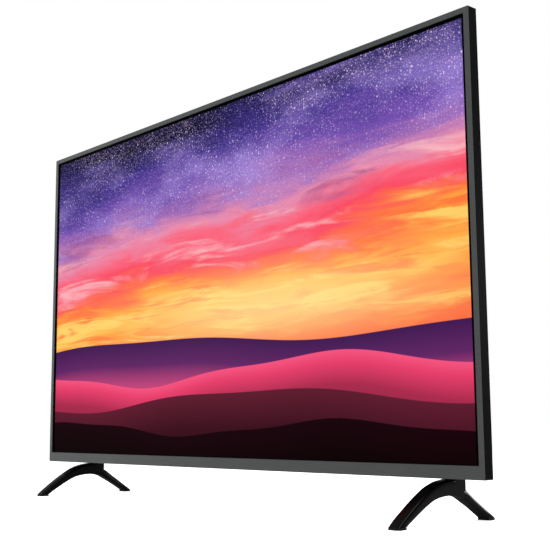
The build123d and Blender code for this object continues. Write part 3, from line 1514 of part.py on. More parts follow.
pieces = {
    "front_bezel": front_bezel,
    "bezel_gasket": bezel_gasket,
    "lcd_cell": lcd_cell,
    "drive_boards": drive_boards,
    "drive_films": drive_films,
    "middle_frame": middle_frame,
    "brightness_film": brightness_film,
    "prism_film": prism_film,
    "diffuser_plate": diffuser_plate,
    "rear_chassis": rear_chassis,
    "led_bars": led_bars,
    "led_lenses": led_lenses,
    "reflector_sheet": reflector_sheet,
    "diffuser_pins": diffuser_pins,
    "main_board": main_board,
    "power_board": power_board,
    "timing_board": timing_board,
    "board_insulator": board_insulator,
    "main_board_chips": main_board_chips,
    "main_heatsink": main_heatsink,
    "power_transformers": power_transformers,
    "power_capacitors": power_capacitors,
    "power_heatsinks": power_heatsinks,
    "radio_module": radio_module,
    "hdmi_ports": hdmi_ports,
    "usb_ports": usb_ports,
    "audio_jack": audio_jack,
    "lan_port": lan_port,
    "tuner": tuner,
    "terminal_plate": terminal_plate,
    "ac_inlet": ac_inlet,
    "ac_inlet_pins": ac_inlet_pins,
    "timing_ribbons": timing_ribbons,
    "power_harness": power_harness,
    "led_harness": led_harness,
    "speaker_wires": speaker_wires,
    "right_speaker_box": right_speaker_box,
    "left_speaker_box": left_speaker_box,
    "speaker_baskets": speaker_baskets,
    "speaker_magnets": speaker_magnets,
    "right_speaker_cone": right_speaker_cone,
    "left_speaker_cone": left_speaker_cone,
    "right_speaker_surround": right_speaker_surround,
    "left_speaker_surround": left_speaker_surround,
    "speaker_grommets": speaker_grommets,
    "receiver_window": receiver_window,
    "receiver_board": receiver_board,
    "power_button": power_button,
    "switch_plunger": switch_plunger,
    "button_board": button_board,
    "board_screws": board_screws,
    "cover_posts": cover_posts,
    "rear_cover_screws": rear_cover_screws,
    "wall_mount_posts": wall_mount_posts,
    "right_foot": right_foot,
    "left_foot": left_foot,
    "foot_pads": foot_pads,
    "foot_brackets": foot_brackets,
    "foot_screws": foot_screws,
    "rear_cover": rear_cover,
}

os.makedirs("parts", exist_ok=True)
for name, piece in pieces.items():
    piece.part.label = name
    export_step(piece.part, f"parts/{name}.step")
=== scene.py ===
import json
import math

import bmesh
import bpy
from mathutils import Matrix, Vector


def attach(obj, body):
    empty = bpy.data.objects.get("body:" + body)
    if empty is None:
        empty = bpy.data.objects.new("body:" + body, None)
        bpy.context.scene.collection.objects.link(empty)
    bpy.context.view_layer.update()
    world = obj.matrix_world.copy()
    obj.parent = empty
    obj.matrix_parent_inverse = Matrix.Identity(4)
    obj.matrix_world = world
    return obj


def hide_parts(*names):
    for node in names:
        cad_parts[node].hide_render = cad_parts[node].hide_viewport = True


# Flat screen television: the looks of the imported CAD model, in metres in its own frame.

# Sizes that the CAD model also holds
FRONT_Y = -0.02585
CABINET_Z = 0.0553
SCREEN_Z = 0.3370
ACTIVE_HALF_WIDTH = 0.4706
ACTIVE_HALF_HEIGHT = 0.2647
FOOT_X = 0.4015
FOOT_HALF_WIDTH = 0.0090
FOOT_CROWN = 0.0042
PAD_HEIGHT = 0.0028
POST_FRONT = 0.0394
POST_BACK = 0.0592
POST_EDGE = 0.0014
POST_TOP = 0.0500

# Camera: place, heading, tilt, roll and lens, solved from the cabinet's straight edges in the photograph
CAMERA_PLACE = (1.19598, -0.97617, 0.12186)
CAMERA_YAW = math.radians(48.178)
CAMERA_PITCH = math.radians(8.177)
CAMERA_ROLL = math.radians(-0.445)
CAMERA_LENS = 67.05
SENSOR_WIDTH = 36.0

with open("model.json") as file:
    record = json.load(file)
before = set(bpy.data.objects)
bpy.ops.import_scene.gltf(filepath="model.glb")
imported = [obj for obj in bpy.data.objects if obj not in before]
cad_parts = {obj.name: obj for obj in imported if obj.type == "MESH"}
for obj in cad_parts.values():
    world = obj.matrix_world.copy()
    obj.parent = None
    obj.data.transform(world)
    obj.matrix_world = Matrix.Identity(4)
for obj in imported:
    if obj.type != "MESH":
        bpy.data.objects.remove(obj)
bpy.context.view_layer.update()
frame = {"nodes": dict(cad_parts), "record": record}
nodes = frame["nodes"]


def set_camera():
    """Camera from its place, heading, tilt and roll."""
    sin_yaw, cos_yaw = math.sin(CAMERA_YAW), math.cos(CAMERA_YAW)
    sin_pitch, cos_pitch = math.sin(CAMERA_PITCH), math.cos(CAMERA_PITCH)
    ahead = Vector((-sin_yaw * cos_pitch, cos_yaw * cos_pitch, sin_pitch))
    level = Vector((cos_yaw, sin_yaw, 0))
    upright = Vector((sin_yaw * sin_pitch, -cos_yaw * sin_pitch, cos_pitch))
    right = level * math.cos(CAMERA_ROLL) + upright * math.sin(CAMERA_ROLL)
    up = upright * math.cos(CAMERA_ROLL) - level * math.sin(CAMERA_ROLL)
    data = bpy.data.cameras.new("camera")
    data.lens = CAMERA_LENS
    data.sensor_width = SENSOR_WIDTH
    data.sensor_fit = "HORIZONTAL"
    camera = bpy.data.objects.new("camera", data)
    bpy.context.scene.collection.objects.link(camera)
    turn = Matrix((right, up, -ahead)).transposed().to_4x4()
    camera.matrix_world = Matrix.Translation(CAMERA_PLACE) @ turn
    bpy.context.scene.camera = camera


set_camera()

# Most values of a noise texture lie between these two
NOISE_LOW = 0.3
NOISE_HIGH = 0.7

# A wave texture of scale 1 repeats about once in this length
WAVE_PERIOD = 0.3

# Parts of the surface by the axis that they face: where a foot's underside and the bezel's face begin
# and are full, and what counts as the panel's front
UNDERSIDE = (-0.15, -0.45)
BEZEL_FACE = (-0.55, -0.85)
PANEL_FRONT = -0.5


class Shade:
    """A node material on a Principled shader, with short calls for its texture nodes."""

    def __init__(self, name, **sockets):
        self.material = bpy.data.materials.new(name)
        self.material.use_nodes = True
        self.tree = self.material.node_tree
        self.shader = self.tree.nodes["Principled BSDF"]
        for key, value in sockets.items():
            self.shader.inputs[key.replace("_", " ")].default_value = value
        coordinates = self.add("TexCoord")
        self.place = coordinates.outputs["Object"]
        self.normal = coordinates.outputs["Normal"]

    def add(self, kind, inputs=(), **settings):
        """A node with its inputs fed and its settings made."""
        node = self.tree.nodes.new("ShaderNode" + kind)
        for key, value in settings.items():
            setattr(node, key, value)
        for key, value in dict(inputs).items():
            self.feed(node.inputs[key], value)
        return node

    def feed(self, socket, value):
        """Link another node's output, or set a number, a vector or a colour of three parts."""
        if isinstance(value, bpy.types.NodeSocket):
            self.tree.links.new(value, socket)
        else:
            socket.default_value = (*value, 1.0) if socket.type == "RGBA" else value

    def math(self, operation, first, second=0.0, third=0.0):
        inputs = {0: first, 1: second, 2: third}
        return self.add("Math", inputs, operation=operation).outputs[0]

    def times(self, first, second):
        return self.math("MULTIPLY", first, second)

    def plus(self, first, second):
        return self.math("ADD", first, second)

    def line(self, value, slope, offset):
        """The value times a slope, plus an offset."""
        return self.math("MULTIPLY_ADD", value, slope, offset)

    def weigh(self, first, share, second):
        """Mean of two values, with a share for the first and the rest for the second."""
        return self.line(first, share, self.times(second, 1.0 - share))

    def facing(self, axis):
        """How far the surface faces along an axis, from -1 to 1."""
        return self.add("SeparateXYZ", {"Vector": self.normal}).outputs[axis]

    def stretch(self, scale, source=None):
        """Coordinates times a scale along each axis."""
        return self.add("Mapping", {"Vector": source or self.place, "Scale": scale}).outputs[0]

    def noise(self, scale, detail=2.0, roughness=0.5, distortion=0.0, source=None):
        inputs = {"Vector": source or self.place, "Scale": scale, "Detail": detail,
                  "Roughness": roughness, "Distortion": distortion}
        return self.add("TexNoise", inputs).outputs[0]

    def cells(self, scale, source=None):
        """Distance to the nearest of scattered points."""
        inputs = {"Vector": source or self.place, "Scale": scale}
        return self.add("TexVoronoi", inputs).outputs["Distance"]

    def waves(self, pitch, axis, distortion=0.0):
        """Bands across an axis, about one to a pitch."""
        inputs = {"Vector": self.place, "Scale": WAVE_PERIOD / pitch, "Distortion": distortion}
        return self.add("TexWave", inputs, bands_direction=axis).outputs["Fac"]

    def remap(self, value, low, high, to_low=0.0, to_high=1.0, smooth=False):
        """The value moved from one range to another, and held at its ends."""
        inputs = {"Value": value, "From Min": low, "From Max": high, "To Min": to_low, "To Max": to_high}
        kind = "SMOOTHSTEP" if smooth else "LINEAR"
        return self.add("MapRange", inputs, interpolation_type=kind).outputs[0]

    def vary(self, noise, low=0.0, high=1.0):
        """From low to high over the values that a noise mostly has."""
        return self.remap(noise, NOISE_LOW, NOISE_HIGH, low, high)

    def mix(self, factor, first, second):
        """Colour between two, each a node's output or three parts."""
        node = self.add("Mix", {"Factor": factor}, data_type="RGBA")
        self.feed(node.inputs[6], first)
        self.feed(node.inputs[7], second)
        return node.outputs[2]

    def ramp(self, value, stops):
        """Colour along a row of positions and colours."""
        node = self.add("ValToRGB", {"Fac": value})
        elements = node.color_ramp.elements
        while len(elements) < len(stops):
            elements.new(1.0)
        for element, (position, colour) in zip(elements, stops):
            element.position = position
            element.color = (*colour, 1.0)
        return node.outputs[0]

    def bump(self, height, distance):
        """Relief from a height, with the distance in metres."""
        relief = self.add("Bump", {"Height": height, "Distance": distance})
        self.feed(self.shader.inputs["Normal"], relief.outputs[0])

    def colour(self, value):
        self.feed(self.shader.inputs["Base Color"], value)

    def roughness(self, value):
        self.feed(self.shader.inputs["Roughness"], value)


def tone(colour, factor):
    """A colour made darker or lighter."""
    return tuple(min(1.0, part * factor) for part in colour)


def moulded(name, colour, rough, grain=0.0007, depth=0.00002, spread=0.12, level=0.35):
    """Moulded plastic or rubber with a spark-eroded grain and a little cloudiness."""
    shade = Shade(name, Specular_IOR_Level=level)
    cloud = shade.noise(22.0, detail=4.0)
    speck = shade.noise(1.0 / grain)
    uneven = shade.weigh(speck, 0.35, cloud)
    shade.colour(shade.mix(shade.vary(uneven), tone(colour, 1 - spread), tone(colour, 1 + spread)))
    shade.roughness(shade.vary(uneven, rough - 0.05, rough + 0.05))
    shade.bump(shade.plus(speck, shade.cells(0.6 / grain)), depth)
    return shade.material


def handling_haze(shade):
    """Faint uneven haze of a handled gloss."""
    return shade.noise(60.0, detail=5.0, roughness=0.6)


def tinted_window(name, colour, rough):
    """Glossy dark window with faint haze."""
    shade = Shade(name, Specular_IOR_Level=0.5, Coat_Weight=0.35, Coat_Roughness=0.04)
    haze = handling_haze(shade)
    shade.colour(shade.mix(haze, tone(colour, 0.85), tone(colour, 1.15)))
    shade.roughness(shade.remap(haze, 0.35, 0.7, rough, rough + 0.09))
    shade.bump(shade.noise(240.0, detail=1.0), 0.000012)
    return shade.material


def foot_plastic(name):
    """Piano black outside with faint haze and dust, and a dull grain under the arch."""
    shade = Shade(name, Specular_IOR_Level=0.028)
    under = shade.remap(shade.facing("Z"), *UNDERSIDE, smooth=True)
    haze = handling_haze(shade)
    grain = shade.noise(1500.0)
    dust = shade.math("LESS_THAN", shade.cells(700.0), 0.07)
    black = shade.mix(haze, (0.0006, 0.0006, 0.0007), (0.0014, 0.0014, 0.0015))
    shade.colour(shade.mix(shade.times(dust, 0.5), black, (0.03, 0.03, 0.03)))
    gloss = shade.remap(haze, 0.35, 0.7, 0.10, 0.20)
    shade.roughness(shade.plus(gloss, shade.times(under, 0.65)))
    shade.bump(shade.times(grain, shade.line(under, 0.95, 0.05)), 0.00006)
    return shade.material


def sheet_metal(name, colour, rough, along=(1, 0, 0)):
    """Rolled or turned metal with fine lines along one axis and soft blotches."""
    shade = Shade(name, Metallic=1.0)
    fine = [90.0 if part else 2600.0 for part in along]
    lines = shade.noise(1.0, detail=3.0, source=shade.stretch(fine))
    blotch = shade.noise(35.0, detail=4.0)
    uneven = shade.weigh(lines, 0.5, blotch)
    shade.colour(shade.mix(shade.vary(uneven), tone(colour, 0.86), tone(colour, 1.14)))
    shade.roughness(shade.vary(uneven, rough, rough + 0.14))
    shade.bump(lines, 0.000008)
    return shade.material


def circuit_board(name):
    """Solder mask over copper tracks, with tinned pads."""
    shade = Shade(name, Coat_Weight=0.3, Coat_Roughness=0.2)
    flat = shade.stretch((1, 0, 1))
    tracks = {"Vector": flat, "Scale": 90.0, "Mortar Size": 0.012, "Brick Width": 0.9, "Row Height": 0.22}
    runs = shade.add("TexBrick", tracks, offset=0.37, squash=1.4).outputs["Fac"]
    pads = shade.math("LESS_THAN", shade.cells(160.0, flat), 0.16)
    blotch = shade.noise(30.0, detail=3.0)
    mask = shade.mix(blotch, (0.006, 0.07, 0.025), (0.012, 0.12, 0.045))
    tracked = shade.mix(runs, mask, (0.02, 0.19, 0.07))
    shade.colour(shade.mix(pads, tracked, (0.62, 0.6, 0.52)))
    shade.feed(shade.shader.inputs["Metallic"], shade.times(pads, 0.9))
    shade.roughness(shade.vary(blotch, 0.28, 0.42))
    shade.bump(shade.plus(runs, pads), 0.00003)
    return shade.material


def film(name, colour, rough, line=0.0004):
    """Optical sheet with fine ruled prisms and a light milky tone."""
    shade = Shade(name, Specular_IOR_Level=0.6, Coat_Weight=0.5)
    ruled = shade.waves(line, "Z", distortion=0.2)
    milky = shade.noise(18.0, detail=3.0)
    shade.colour(shade.mix(milky, tone(colour, 0.93), tone(colour, 1.05)))
    shade.roughness(shade.remap(ruled, 0.0, 1.0, rough, rough + 0.12))
    shade.bump(ruled, 0.00001)
    return shade.material


def ribbed(name, colour, rough, pitch=0.0011):
    """Flat cable or wound tape, with a ridge for each wire or turn."""
    shade = Shade(name, Specular_IOR_Level=0.45)
    ridge = shade.waves(pitch, "X")
    stain = shade.noise(45.0, detail=3.0)
    shade.colour(shade.mix(stain, tone(colour, 0.85), tone(colour, 1.12)))
    shade.roughness(shade.vary(stain, rough, rough + 0.1))
    shade.bump(ridge, 0.00006)
    return shade.material


def pressed_paper(name, colour):
    """Speaker cone pulp, with short fibres."""
    shade = Shade(name, Specular_IOR_Level=0.2)
    fibre = shade.noise(900.0, detail=4.0, distortion=1.5)
    shade.colour(shade.mix(fibre, tone(colour, 0.6), tone(colour, 1.5)))
    shade.roughness(shade.vary(fibre, 0.75, 0.92))
    shade.bump(fibre, 0.00006)
    return shade.material


def bezel_plastic(name):
    """Grey textured face on the front, near black rim on every other side."""
    shade = Shade(name, Specular_IOR_Level=0.01)
    face = shade.remap(shade.facing("Y"), *BEZEL_FACE, smooth=True)
    grain = shade.noise(1700.0)
    brushed = shade.noise(1.0, source=shade.stretch((60.0, 900.0, 900.0)))
    cloud = shade.noise(9.0, detail=3.0)
    uneven = shade.weigh(cloud, 0.5, brushed)
    grey = shade.mix(shade.vary(uneven), (0.047, 0.049, 0.049), (0.059, 0.061, 0.062))
    black = shade.mix(cloud, (0.0008, 0.0008, 0.0009), (0.0018, 0.0018, 0.0020))
    shade.colour(shade.mix(face, black, grey))
    shade.roughness(shade.remap(face, 0.0, 1.0, 0.36, 0.42))
    shade.bump(shade.weigh(grain, 0.7, brushed), 0.000014)
    return shade.material


# The made-up picture on the screen: its width over its height. Its heights and its places across run
# from 0 to 1.
PICTURE_ASPECT = 1.78

# The sky's bands: their lean up to the right, what is added to their heights, and how far two noises
# bend them up and down
SKY_LEAN = -0.10
SKY_OFFSET = 0.05
DRIFT_SWING = 0.075
RAGGED_SWING = 0.035

# Height and colour of the sky's bands
SKY_BANDS = (
    (0.30, (0.98, 0.10, 0.03)), (0.36, (1.00, 0.28, 0.03)), (0.42, (1.00, 0.50, 0.08)),
    (0.47, (1.00, 0.40, 0.05)), (0.52, (1.00, 0.17, 0.06)), (0.57, (0.96, 0.07, 0.13)),
    (0.62, (0.96, 0.14, 0.22)), (0.67, (0.80, 0.26, 0.42)), (0.73, (0.38, 0.15, 0.46)),
    (0.80, (0.17, 0.075, 0.42)), (0.88, (0.055, 0.030, 0.26)), (0.96, (0.012, 0.009, 0.09)),
    (1.00, (0.004, 0.003, 0.035)),
)

# Wisps over the bands: scale and stretch of their grain, the part of it that shows, the heights where
# they start, are full, begin to fade and end, and their strength and colour
WISPS = (
    (2.2, (1, 9, 1), (0.48, 0.62), (0.30, 0.37, 0.47, 0.54), 0.85, (1.0, 0.68, 0.16)),
    (2.9, (1.1, 11, 1), (0.52, 0.66), (0.32, 0.40, 0.50, 0.60), 0.8, (1.0, 0.15, 0.04)),
    (1.9, (1.2, 8, 1), (0.50, 0.68), (0.52, 0.58, 0.66, 0.76), 0.8, (0.98, 0.52, 0.56)),
    (1.7, (1.3, 7, 1), (0.54, 0.70), (0.56, 0.66, 0.78, 0.90), 0.65, (0.30, 0.05, 0.22)),
)

# Glow low in the sky: how fast it fades across and up with the offsets that place its middle, its fall,
# strength and colour
GLOW_ACROSS = (2.6, -1.64)
GLOW_UP = (8.5, -3.35)
GLOW_FALL = -1.5
GLOW_STRENGTH = 0.6
GLOW_COLOUR = (1.0, 0.84, 0.36)

# Violet haze among the stars: the heights where it starts, is full, begins to fade and ends, then its
# strength and colour
HAZE_HEIGHTS = (0.66, 0.76, 0.86, 1.0)
HAZE_STRENGTH = 0.55
HAZE_COLOUR = (0.42, 0.30, 0.80)

# Layers of stars: scale of their cells, radius in a cell, share of the cells with a star, and strength.
# They fade in between two heights. Each dot is full bright in its core, and its tint lies between two.
STARS = (
    (260.0, 0.42, 0.70, 0.55),
    (120.0, 0.30, 0.50, 0.85),
    (62.0, 0.20, 0.32, 1.0),
    (27.0, 0.11, 0.25, 1.0),
)
STAR_HEIGHTS = (0.60, 0.80)
STAR_CORE = 0.3
STAR_TINTS = ((0.62, 0.58, 1.0), (1.0, 0.70, 0.92))

# Dunes from the farthest to the nearest: height of the crest, swing of its wave, waves across, start of
# the first wave, and the colours from the crest down
DUNES = (
    (0.325, 0.022, 0.85, 0.4, (
        (0.0, (0.050, 0.010, 0.085)), (0.30, (0.12, 0.020, 0.13)), (0.55, (0.50, 0.06, 0.20)),
        (1.0, (0.90, 0.09, 0.24)))),
    (0.235, 0.030, 1.15, 2.6, (
        (0.0, (0.93, 0.09, 0.22)), (0.12, (0.80, 0.05, 0.15)), (0.35, (0.40, 0.025, 0.075)),
        (1.0, (0.12, 0.008, 0.03)))),
    (0.155, 0.026, 0.95, 4.4, (
        (0.0, (0.115, 0.012, 0.030)), (0.4, (0.045, 0.005, 0.012)), (1.0, (0.015, 0.002, 0.004)))),
    (0.078, 0.020, 1.45, 0.9, (
        (0.0, (0.010, 0.001, 0.003)), (0.4, (0.004, 0.0006, 0.001)), (1.0, (0.002, 0.0003, 0.0005)))),
)

# A crest's ripple against its wave: times as many, from another start, and lower. The crest is soft
# over a narrow band, and the colours run to a depth below it.
RIPPLE_COUNT = 2.7
RIPPLE_START = 1.9
RIPPLE_SWING = 0.22
CREST_EDGE = 0.0012
DUNE_DEPTH = 0.24


def dune(shade, picture, across, up, crest, swing, count, start, colours):
    """A smooth swell over the picture, with its colours from the crest down."""
    swell = shade.math("SINE", shade.line(across, count * math.tau, start))
    ripple = shade.math("SINE", shade.line(across, count * RIPPLE_COUNT * math.tau, start * RIPPLE_START))
    line = shade.line(swell, swing, shade.line(ripple, swing * RIPPLE_SWING, crest))
    below = shade.math("SUBTRACT", line, up)
    inside = shade.remap(below, -CREST_EDGE, CREST_EDGE, smooth=True)
    body = shade.ramp(shade.remap(below, 0.0, DUNE_DEPTH), colours)
    return shade.mix(inside, picture, body)


def star_layer(shade, flat, scale, radius, share, glow):
    """Round dots of several strengths and tints, at most one to a cell of the pattern."""
    cells = shade.add("TexVoronoi", {"Vector": flat, "Scale": scale}, voronoi_dimensions="2D")
    near = shade.remap(cells.outputs["Distance"], radius, radius * STAR_CORE, smooth=True)
    pick = shade.add("SeparateColor", {"Color": cells.outputs["Color"]})
    strength = shade.remap(pick.outputs["Red"], 1.0 - share, 1.0, 0.0, glow)
    return shade.times(near, strength), shade.mix(pick.outputs["Blue"], *STAR_TINTS)


def wisps(shade, flat, scale, stretched, shown):
    """Mask of long drawn out wisps."""
    grain = shade.noise(scale, detail=5.0, roughness=0.6, distortion=0.8,
                        source=shade.stretch(stretched, flat))
    return shade.remap(grain, *shown, smooth=True)


def between(shade, value, heights):
    """One from full to fade, and down to nothing at the bottom and the top."""
    bottom, full, fade, top = heights
    return shade.times(shade.remap(value, bottom, full, smooth=True),
                       shade.remap(value, top, fade, smooth=True))


def night_sky(shade, across, up, flat):
    """Ribbons of warm colour that lean up to the right, under a violet sky full of stars."""
    drift = shade.noise(1.3, detail=3.0, distortion=0.5, source=shade.stretch((1, 4.5, 1), flat))
    ragged = shade.noise(4.0, detail=6.0, roughness=0.62, distortion=0.9,
                         source=shade.stretch((1, 6.5, 1), flat))
    height = shade.line(across, SKY_LEAN, shade.plus(up, SKY_OFFSET))
    for bend, swing in ((drift, DRIFT_SWING), (ragged, RAGGED_SWING)):
        height = shade.plus(height, shade.remap(bend, 0.2, 0.8, -swing, swing))
    sky = shade.ramp(height, SKY_BANDS)
    for scale, stretched, shown, heights, strength, colour in WISPS:
        mask = shade.times(wisps(shade, flat, scale, stretched, shown), between(shade, height, heights))
        sky = shade.mix(shade.times(mask, strength), sky, colour)
    aside = shade.math("POWER", shade.line(across, *GLOW_ACROSS), 2.0)
    rise = shade.math("POWER", shade.line(up, *GLOW_UP), 2.0)
    glow = shade.math("POWER", math.e, shade.times(shade.plus(aside, rise), GLOW_FALL))
    sky = shade.mix(shade.times(glow, GLOW_STRENGTH), sky, GLOW_COLOUR)
    crowd = shade.noise(3.2, detail=3.0, source=shade.stretch((1, 1.8, 1), flat))
    hazy = shade.times(shade.remap(crowd, 0.45, 0.75, smooth=True), HAZE_STRENGTH)
    sky = shade.mix(shade.times(hazy, between(shade, height, HAZE_HEIGHTS)), sky, HAZE_COLOUR)
    thick = shade.remap(crowd, 0.30, 0.68, 0.25, 1.0, smooth=True)
    reach = shade.times(shade.remap(height, *STAR_HEIGHTS, smooth=True), thick)
    for layer in STARS:
        dots, tint = star_layer(shade, flat, *layer)
        sky = shade.mix(shade.times(dots, reach), sky, tint)
    return sky


def screen_panel(name):
    """Lit panel: a made-up picture of a starry sky over smooth dunes, in a black border."""
    shade = Shade(name, Specular_IOR_Level=0.0015, Roughness=0.3, Emission_Strength=1.0)
    axes = shade.add("SeparateXYZ", {"Vector": shade.place})
    x, z = axes.outputs["X"], axes.outputs["Z"]
    across = shade.remap(x, -ACTIVE_HALF_WIDTH, ACTIVE_HALF_WIDTH)
    up = shade.remap(z, SCREEN_Z - ACTIVE_HALF_HEIGHT, SCREEN_Z + ACTIVE_HALF_HEIGHT)
    flat = shade.add("CombineXYZ", {"X": shade.times(across, PICTURE_ASPECT), "Y": up}).outputs[0]
    picture = night_sky(shade, across, up, flat)
    for swell in DUNES:
        picture = dune(shade, picture, across, up, *swell)
    from_centre = shade.math("ABSOLUTE", shade.math("SUBTRACT", z, SCREEN_Z))
    in_height = shade.math("LESS_THAN", from_centre, ACTIVE_HALF_HEIGHT)
    in_width = shade.math("LESS_THAN", shade.math("ABSOLUTE", x), ACTIVE_HALF_WIDTH)
    in_front = shade.math("LESS_THAN", shade.facing("Y"), PANEL_FRONT)
    lit = shade.times(shade.times(in_height, in_width), in_front)
    shade.feed(shade.shader.inputs["Emission Color"], shade.mix(lit, (0, 0, 0), picture))
    haze = shade.noise(2600.0, detail=1.0)
    shade.colour(shade.mix(haze, (0.0002, 0.0002, 0.0002), (0.0005, 0.0005, 0.0006)))
    shade.bump(haze, 0.000006)
    return shade.material


# Each slot's recipe and what it is told
ALONG_Y = (0, 1, 0)
ALONG_Z = (0, 0, 1)
RECIPES = {
    "bezel_plastic": (bezel_plastic, {}),
    "soft_gasket": (moulded, dict(colour=(0.012, 0.012, 0.012), rough=0.85, grain=0.0004)),
    "display_glass": (screen_panel, {}),
    "green_board": (circuit_board, {}),
    "amber_film": (film, dict(colour=(0.42, 0.17, 0.025), rough=0.25)),
    "white_plastic": (moulded, dict(colour=(0.72, 0.72, 0.70), rough=0.45, spread=0.04)),
    "clear_film": (film, dict(colour=(0.72, 0.74, 0.76), rough=0.2)),
    "diffuser_white": (film, dict(colour=(0.82, 0.82, 0.82), rough=0.45, line=0.002)),
    "zinc_steel": (sheet_metal, dict(colour=(0.55, 0.56, 0.57), rough=0.3)),
    "black_plastic": (moulded, dict(colour=(0.0085, 0.0085, 0.009), rough=0.52, grain=0.0011,
                                    depth=0.00005, level=0.15)),
    "gloss_black": (foot_plastic, {}),
    "dark_window": (tinted_window, dict(colour=(0.012, 0.002, 0.003), rough=0.06)),
    "rubber_black": (moulded, dict(colour=(0.006, 0.006, 0.006), rough=0.8, grain=0.0005, level=0.08)),
    "chip_black": (moulded, dict(colour=(0.015, 0.015, 0.016), rough=0.6, grain=0.0003)),
    "bare_aluminium": (sheet_metal, dict(colour=(0.72, 0.72, 0.74), rough=0.28, along=ALONG_Z)),
    "nickel_shell": (sheet_metal, dict(colour=(0.62, 0.61, 0.58), rough=0.22, along=ALONG_Z)),
    "paper_cone": (pressed_paper, dict(colour=(0.03, 0.03, 0.03))),
    "ferrite": (moulded, dict(colour=(0.05, 0.05, 0.055), rough=0.7, grain=0.0009, depth=0.00006)),
    "wire_sleeve": (ribbed, dict(colour=(0.02, 0.02, 0.022), rough=0.42)),
    "winding_tape": (ribbed, dict(colour=(0.55, 0.40, 0.06), rough=0.35, pitch=0.003)),
    "brass_insert": (sheet_metal, dict(colour=(0.66, 0.48, 0.2), rough=0.25, along=ALONG_Y)),
    "black_screw": (sheet_metal, dict(colour=(0.03, 0.03, 0.033), rough=0.32, along=ALONG_Y)),
}
materials = {slot: recipe(slot, **told) for slot, (recipe, told) in RECIPES.items()}
slots = {part["node"]: part["material_slot"] for part in frame["record"]["subparts"]}
for name, node in nodes.items():
    node.data.materials.clear()
    node.data.materials.append(materials[slots[name]])

# Edges of the scene's own pieces stay sharp above this angle
SHARP_ANGLE = math.radians(35.0)

# A foot has small soft edges inside its arch, whose middle point keeps a share of their size from both
# sides, and round ones outside, with points at these angles. These are rounder along the rear leg: from
# a share of the leg's length they grow over a ramp, and they fade over as much before the toe.
FOOT_EDGE = 0.0009
EDGE_MIDDLE = 0.3
QUARTER_ANGLES = [math.radians(15 * step) for step in range(7)]
REAR_CROWN = 0.0086
REAR_START = 0.56
REAR_RAMP = 0.10

# Steps of the smooth curve between two given points, and loops along the leg
CURVE_STEPS = 24
LEG_LOOPS = 57

# The post starts inside the leg, this far under the cabinet, and each of its corners has these angles
POST_BOTTOM = 0.0171
CORNER_DEGREES = (0, 30, 60, 90)

# Outer and inner edge of a foot's arch: depth behind the front face, height over the cabinet's bottom
FOOT_OUTER = (
    (-0.0650, -0.0525), (-0.0548, -0.0440), (-0.0423, -0.0350), (-0.0291, -0.0260), (-0.0143, -0.0170),
    (-0.0008, -0.0100), (0.0143, -0.0050), (0.0267, -0.0030), (0.0394, -0.0024), (0.0592, -0.0129),
    (0.0660, -0.0159), (0.0788, -0.0249), (0.0924, -0.0339), (0.1053, -0.0431), (0.1167, -0.0525),
)
FOOT_INNER = (
    (-0.0511, -0.0525), (-0.0388, -0.0450), (-0.0248, -0.0370), (-0.0113, -0.0300), (0.0045, -0.0240),
    (0.0280, -0.0213), (0.0513, -0.0240), (0.0642, -0.0300), (0.0774, -0.0370), (0.0909, -0.0450),
    (0.1029, -0.0525),
)

# Loops up a rubber pad: height, and how much of the leg's outline each fills
PAD_LOOPS = (
    (0.0, 0.965),
    (0.0004, 0.995),
    (PAD_HEIGHT * 0.5, 1.0),
    (PAD_HEIGHT - 0.0003, 0.985),
    (PAD_HEIGHT, 0.96),
)


def piece(name, slot, mesh, replaced):
    """Object on the cabinet in place of a CAD node, with its slot's material."""
    made = bpy.data.objects.new(name, mesh)
    bpy.context.scene.collection.objects.link(made)
    mesh.materials.append(materials[slot])
    for polygon in mesh.polygons:
        polygon.use_smooth = True
    mesh.set_sharp_from_angle(angle=SHARP_ANGLE)
    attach(made, "cabinet")
    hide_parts(replaced)
    return made


def smooth_path(points, count):
    """Points evenly spaced along a smooth curve through the given points."""
    ends = [points[0] * 2 - points[1], *points, points[-1] * 2 - points[-2]]
    dense = []
    for before, start, stop, after in zip(ends, ends[1:], ends[2:], ends[3:]):
        linear = stop - before
        square = 2 * before - 5 * start + 4 * stop - after
        cube = 3 * start - before - 3 * stop + after
        for step in range(CURVE_STEPS):
            t = step / CURVE_STEPS
            dense.append(0.5 * (2 * start + linear * t + square * t**2 + cube * t**3))
    dense.append(points[-1])
    lengths = [0.0]
    for first, second in zip(dense, dense[1:]):
        lengths.append(lengths[-1] + (second - first).length)
    path, position = [], 0
    for step in range(count):
        target = lengths[-1] * step / (count - 1)
        while position < len(lengths) - 2 and lengths[position + 1] < target:
            position += 1
        run = lengths[position + 1] - lengths[position]
        path.append(dense[position].lerp(dense[position + 1], (target - lengths[position]) / run))
    return path


def loft(loops):
    """Closed shape through a row of loops with equal counts."""
    shape = bmesh.new()
    rows = [[shape.verts.new(point) for point in loop] for loop in loops]
    for first, second in zip(rows, rows[1:]):
        for index in range(len(first)):
            after = (index + 1) % len(first)
            shape.faces.new((first[index], first[after], second[after], second[index]))
    shape.faces.new(list(reversed(rows[0])))
    shape.faces.new(rows[-1])
    bmesh.ops.recalc_face_normals(shape, faces=shape.faces)
    return shape


def as_mesh(name, shape):
    """The shape as a mesh, with the shape freed."""
    mesh = bpy.data.meshes.new(name)
    shape.to_mesh(mesh)
    shape.free()
    return mesh


def foot_point(pair):
    """A point of the arch's edge in the shared frame."""
    return Vector((0, FRONT_Y + pair[0], CABINET_Z + pair[1]))


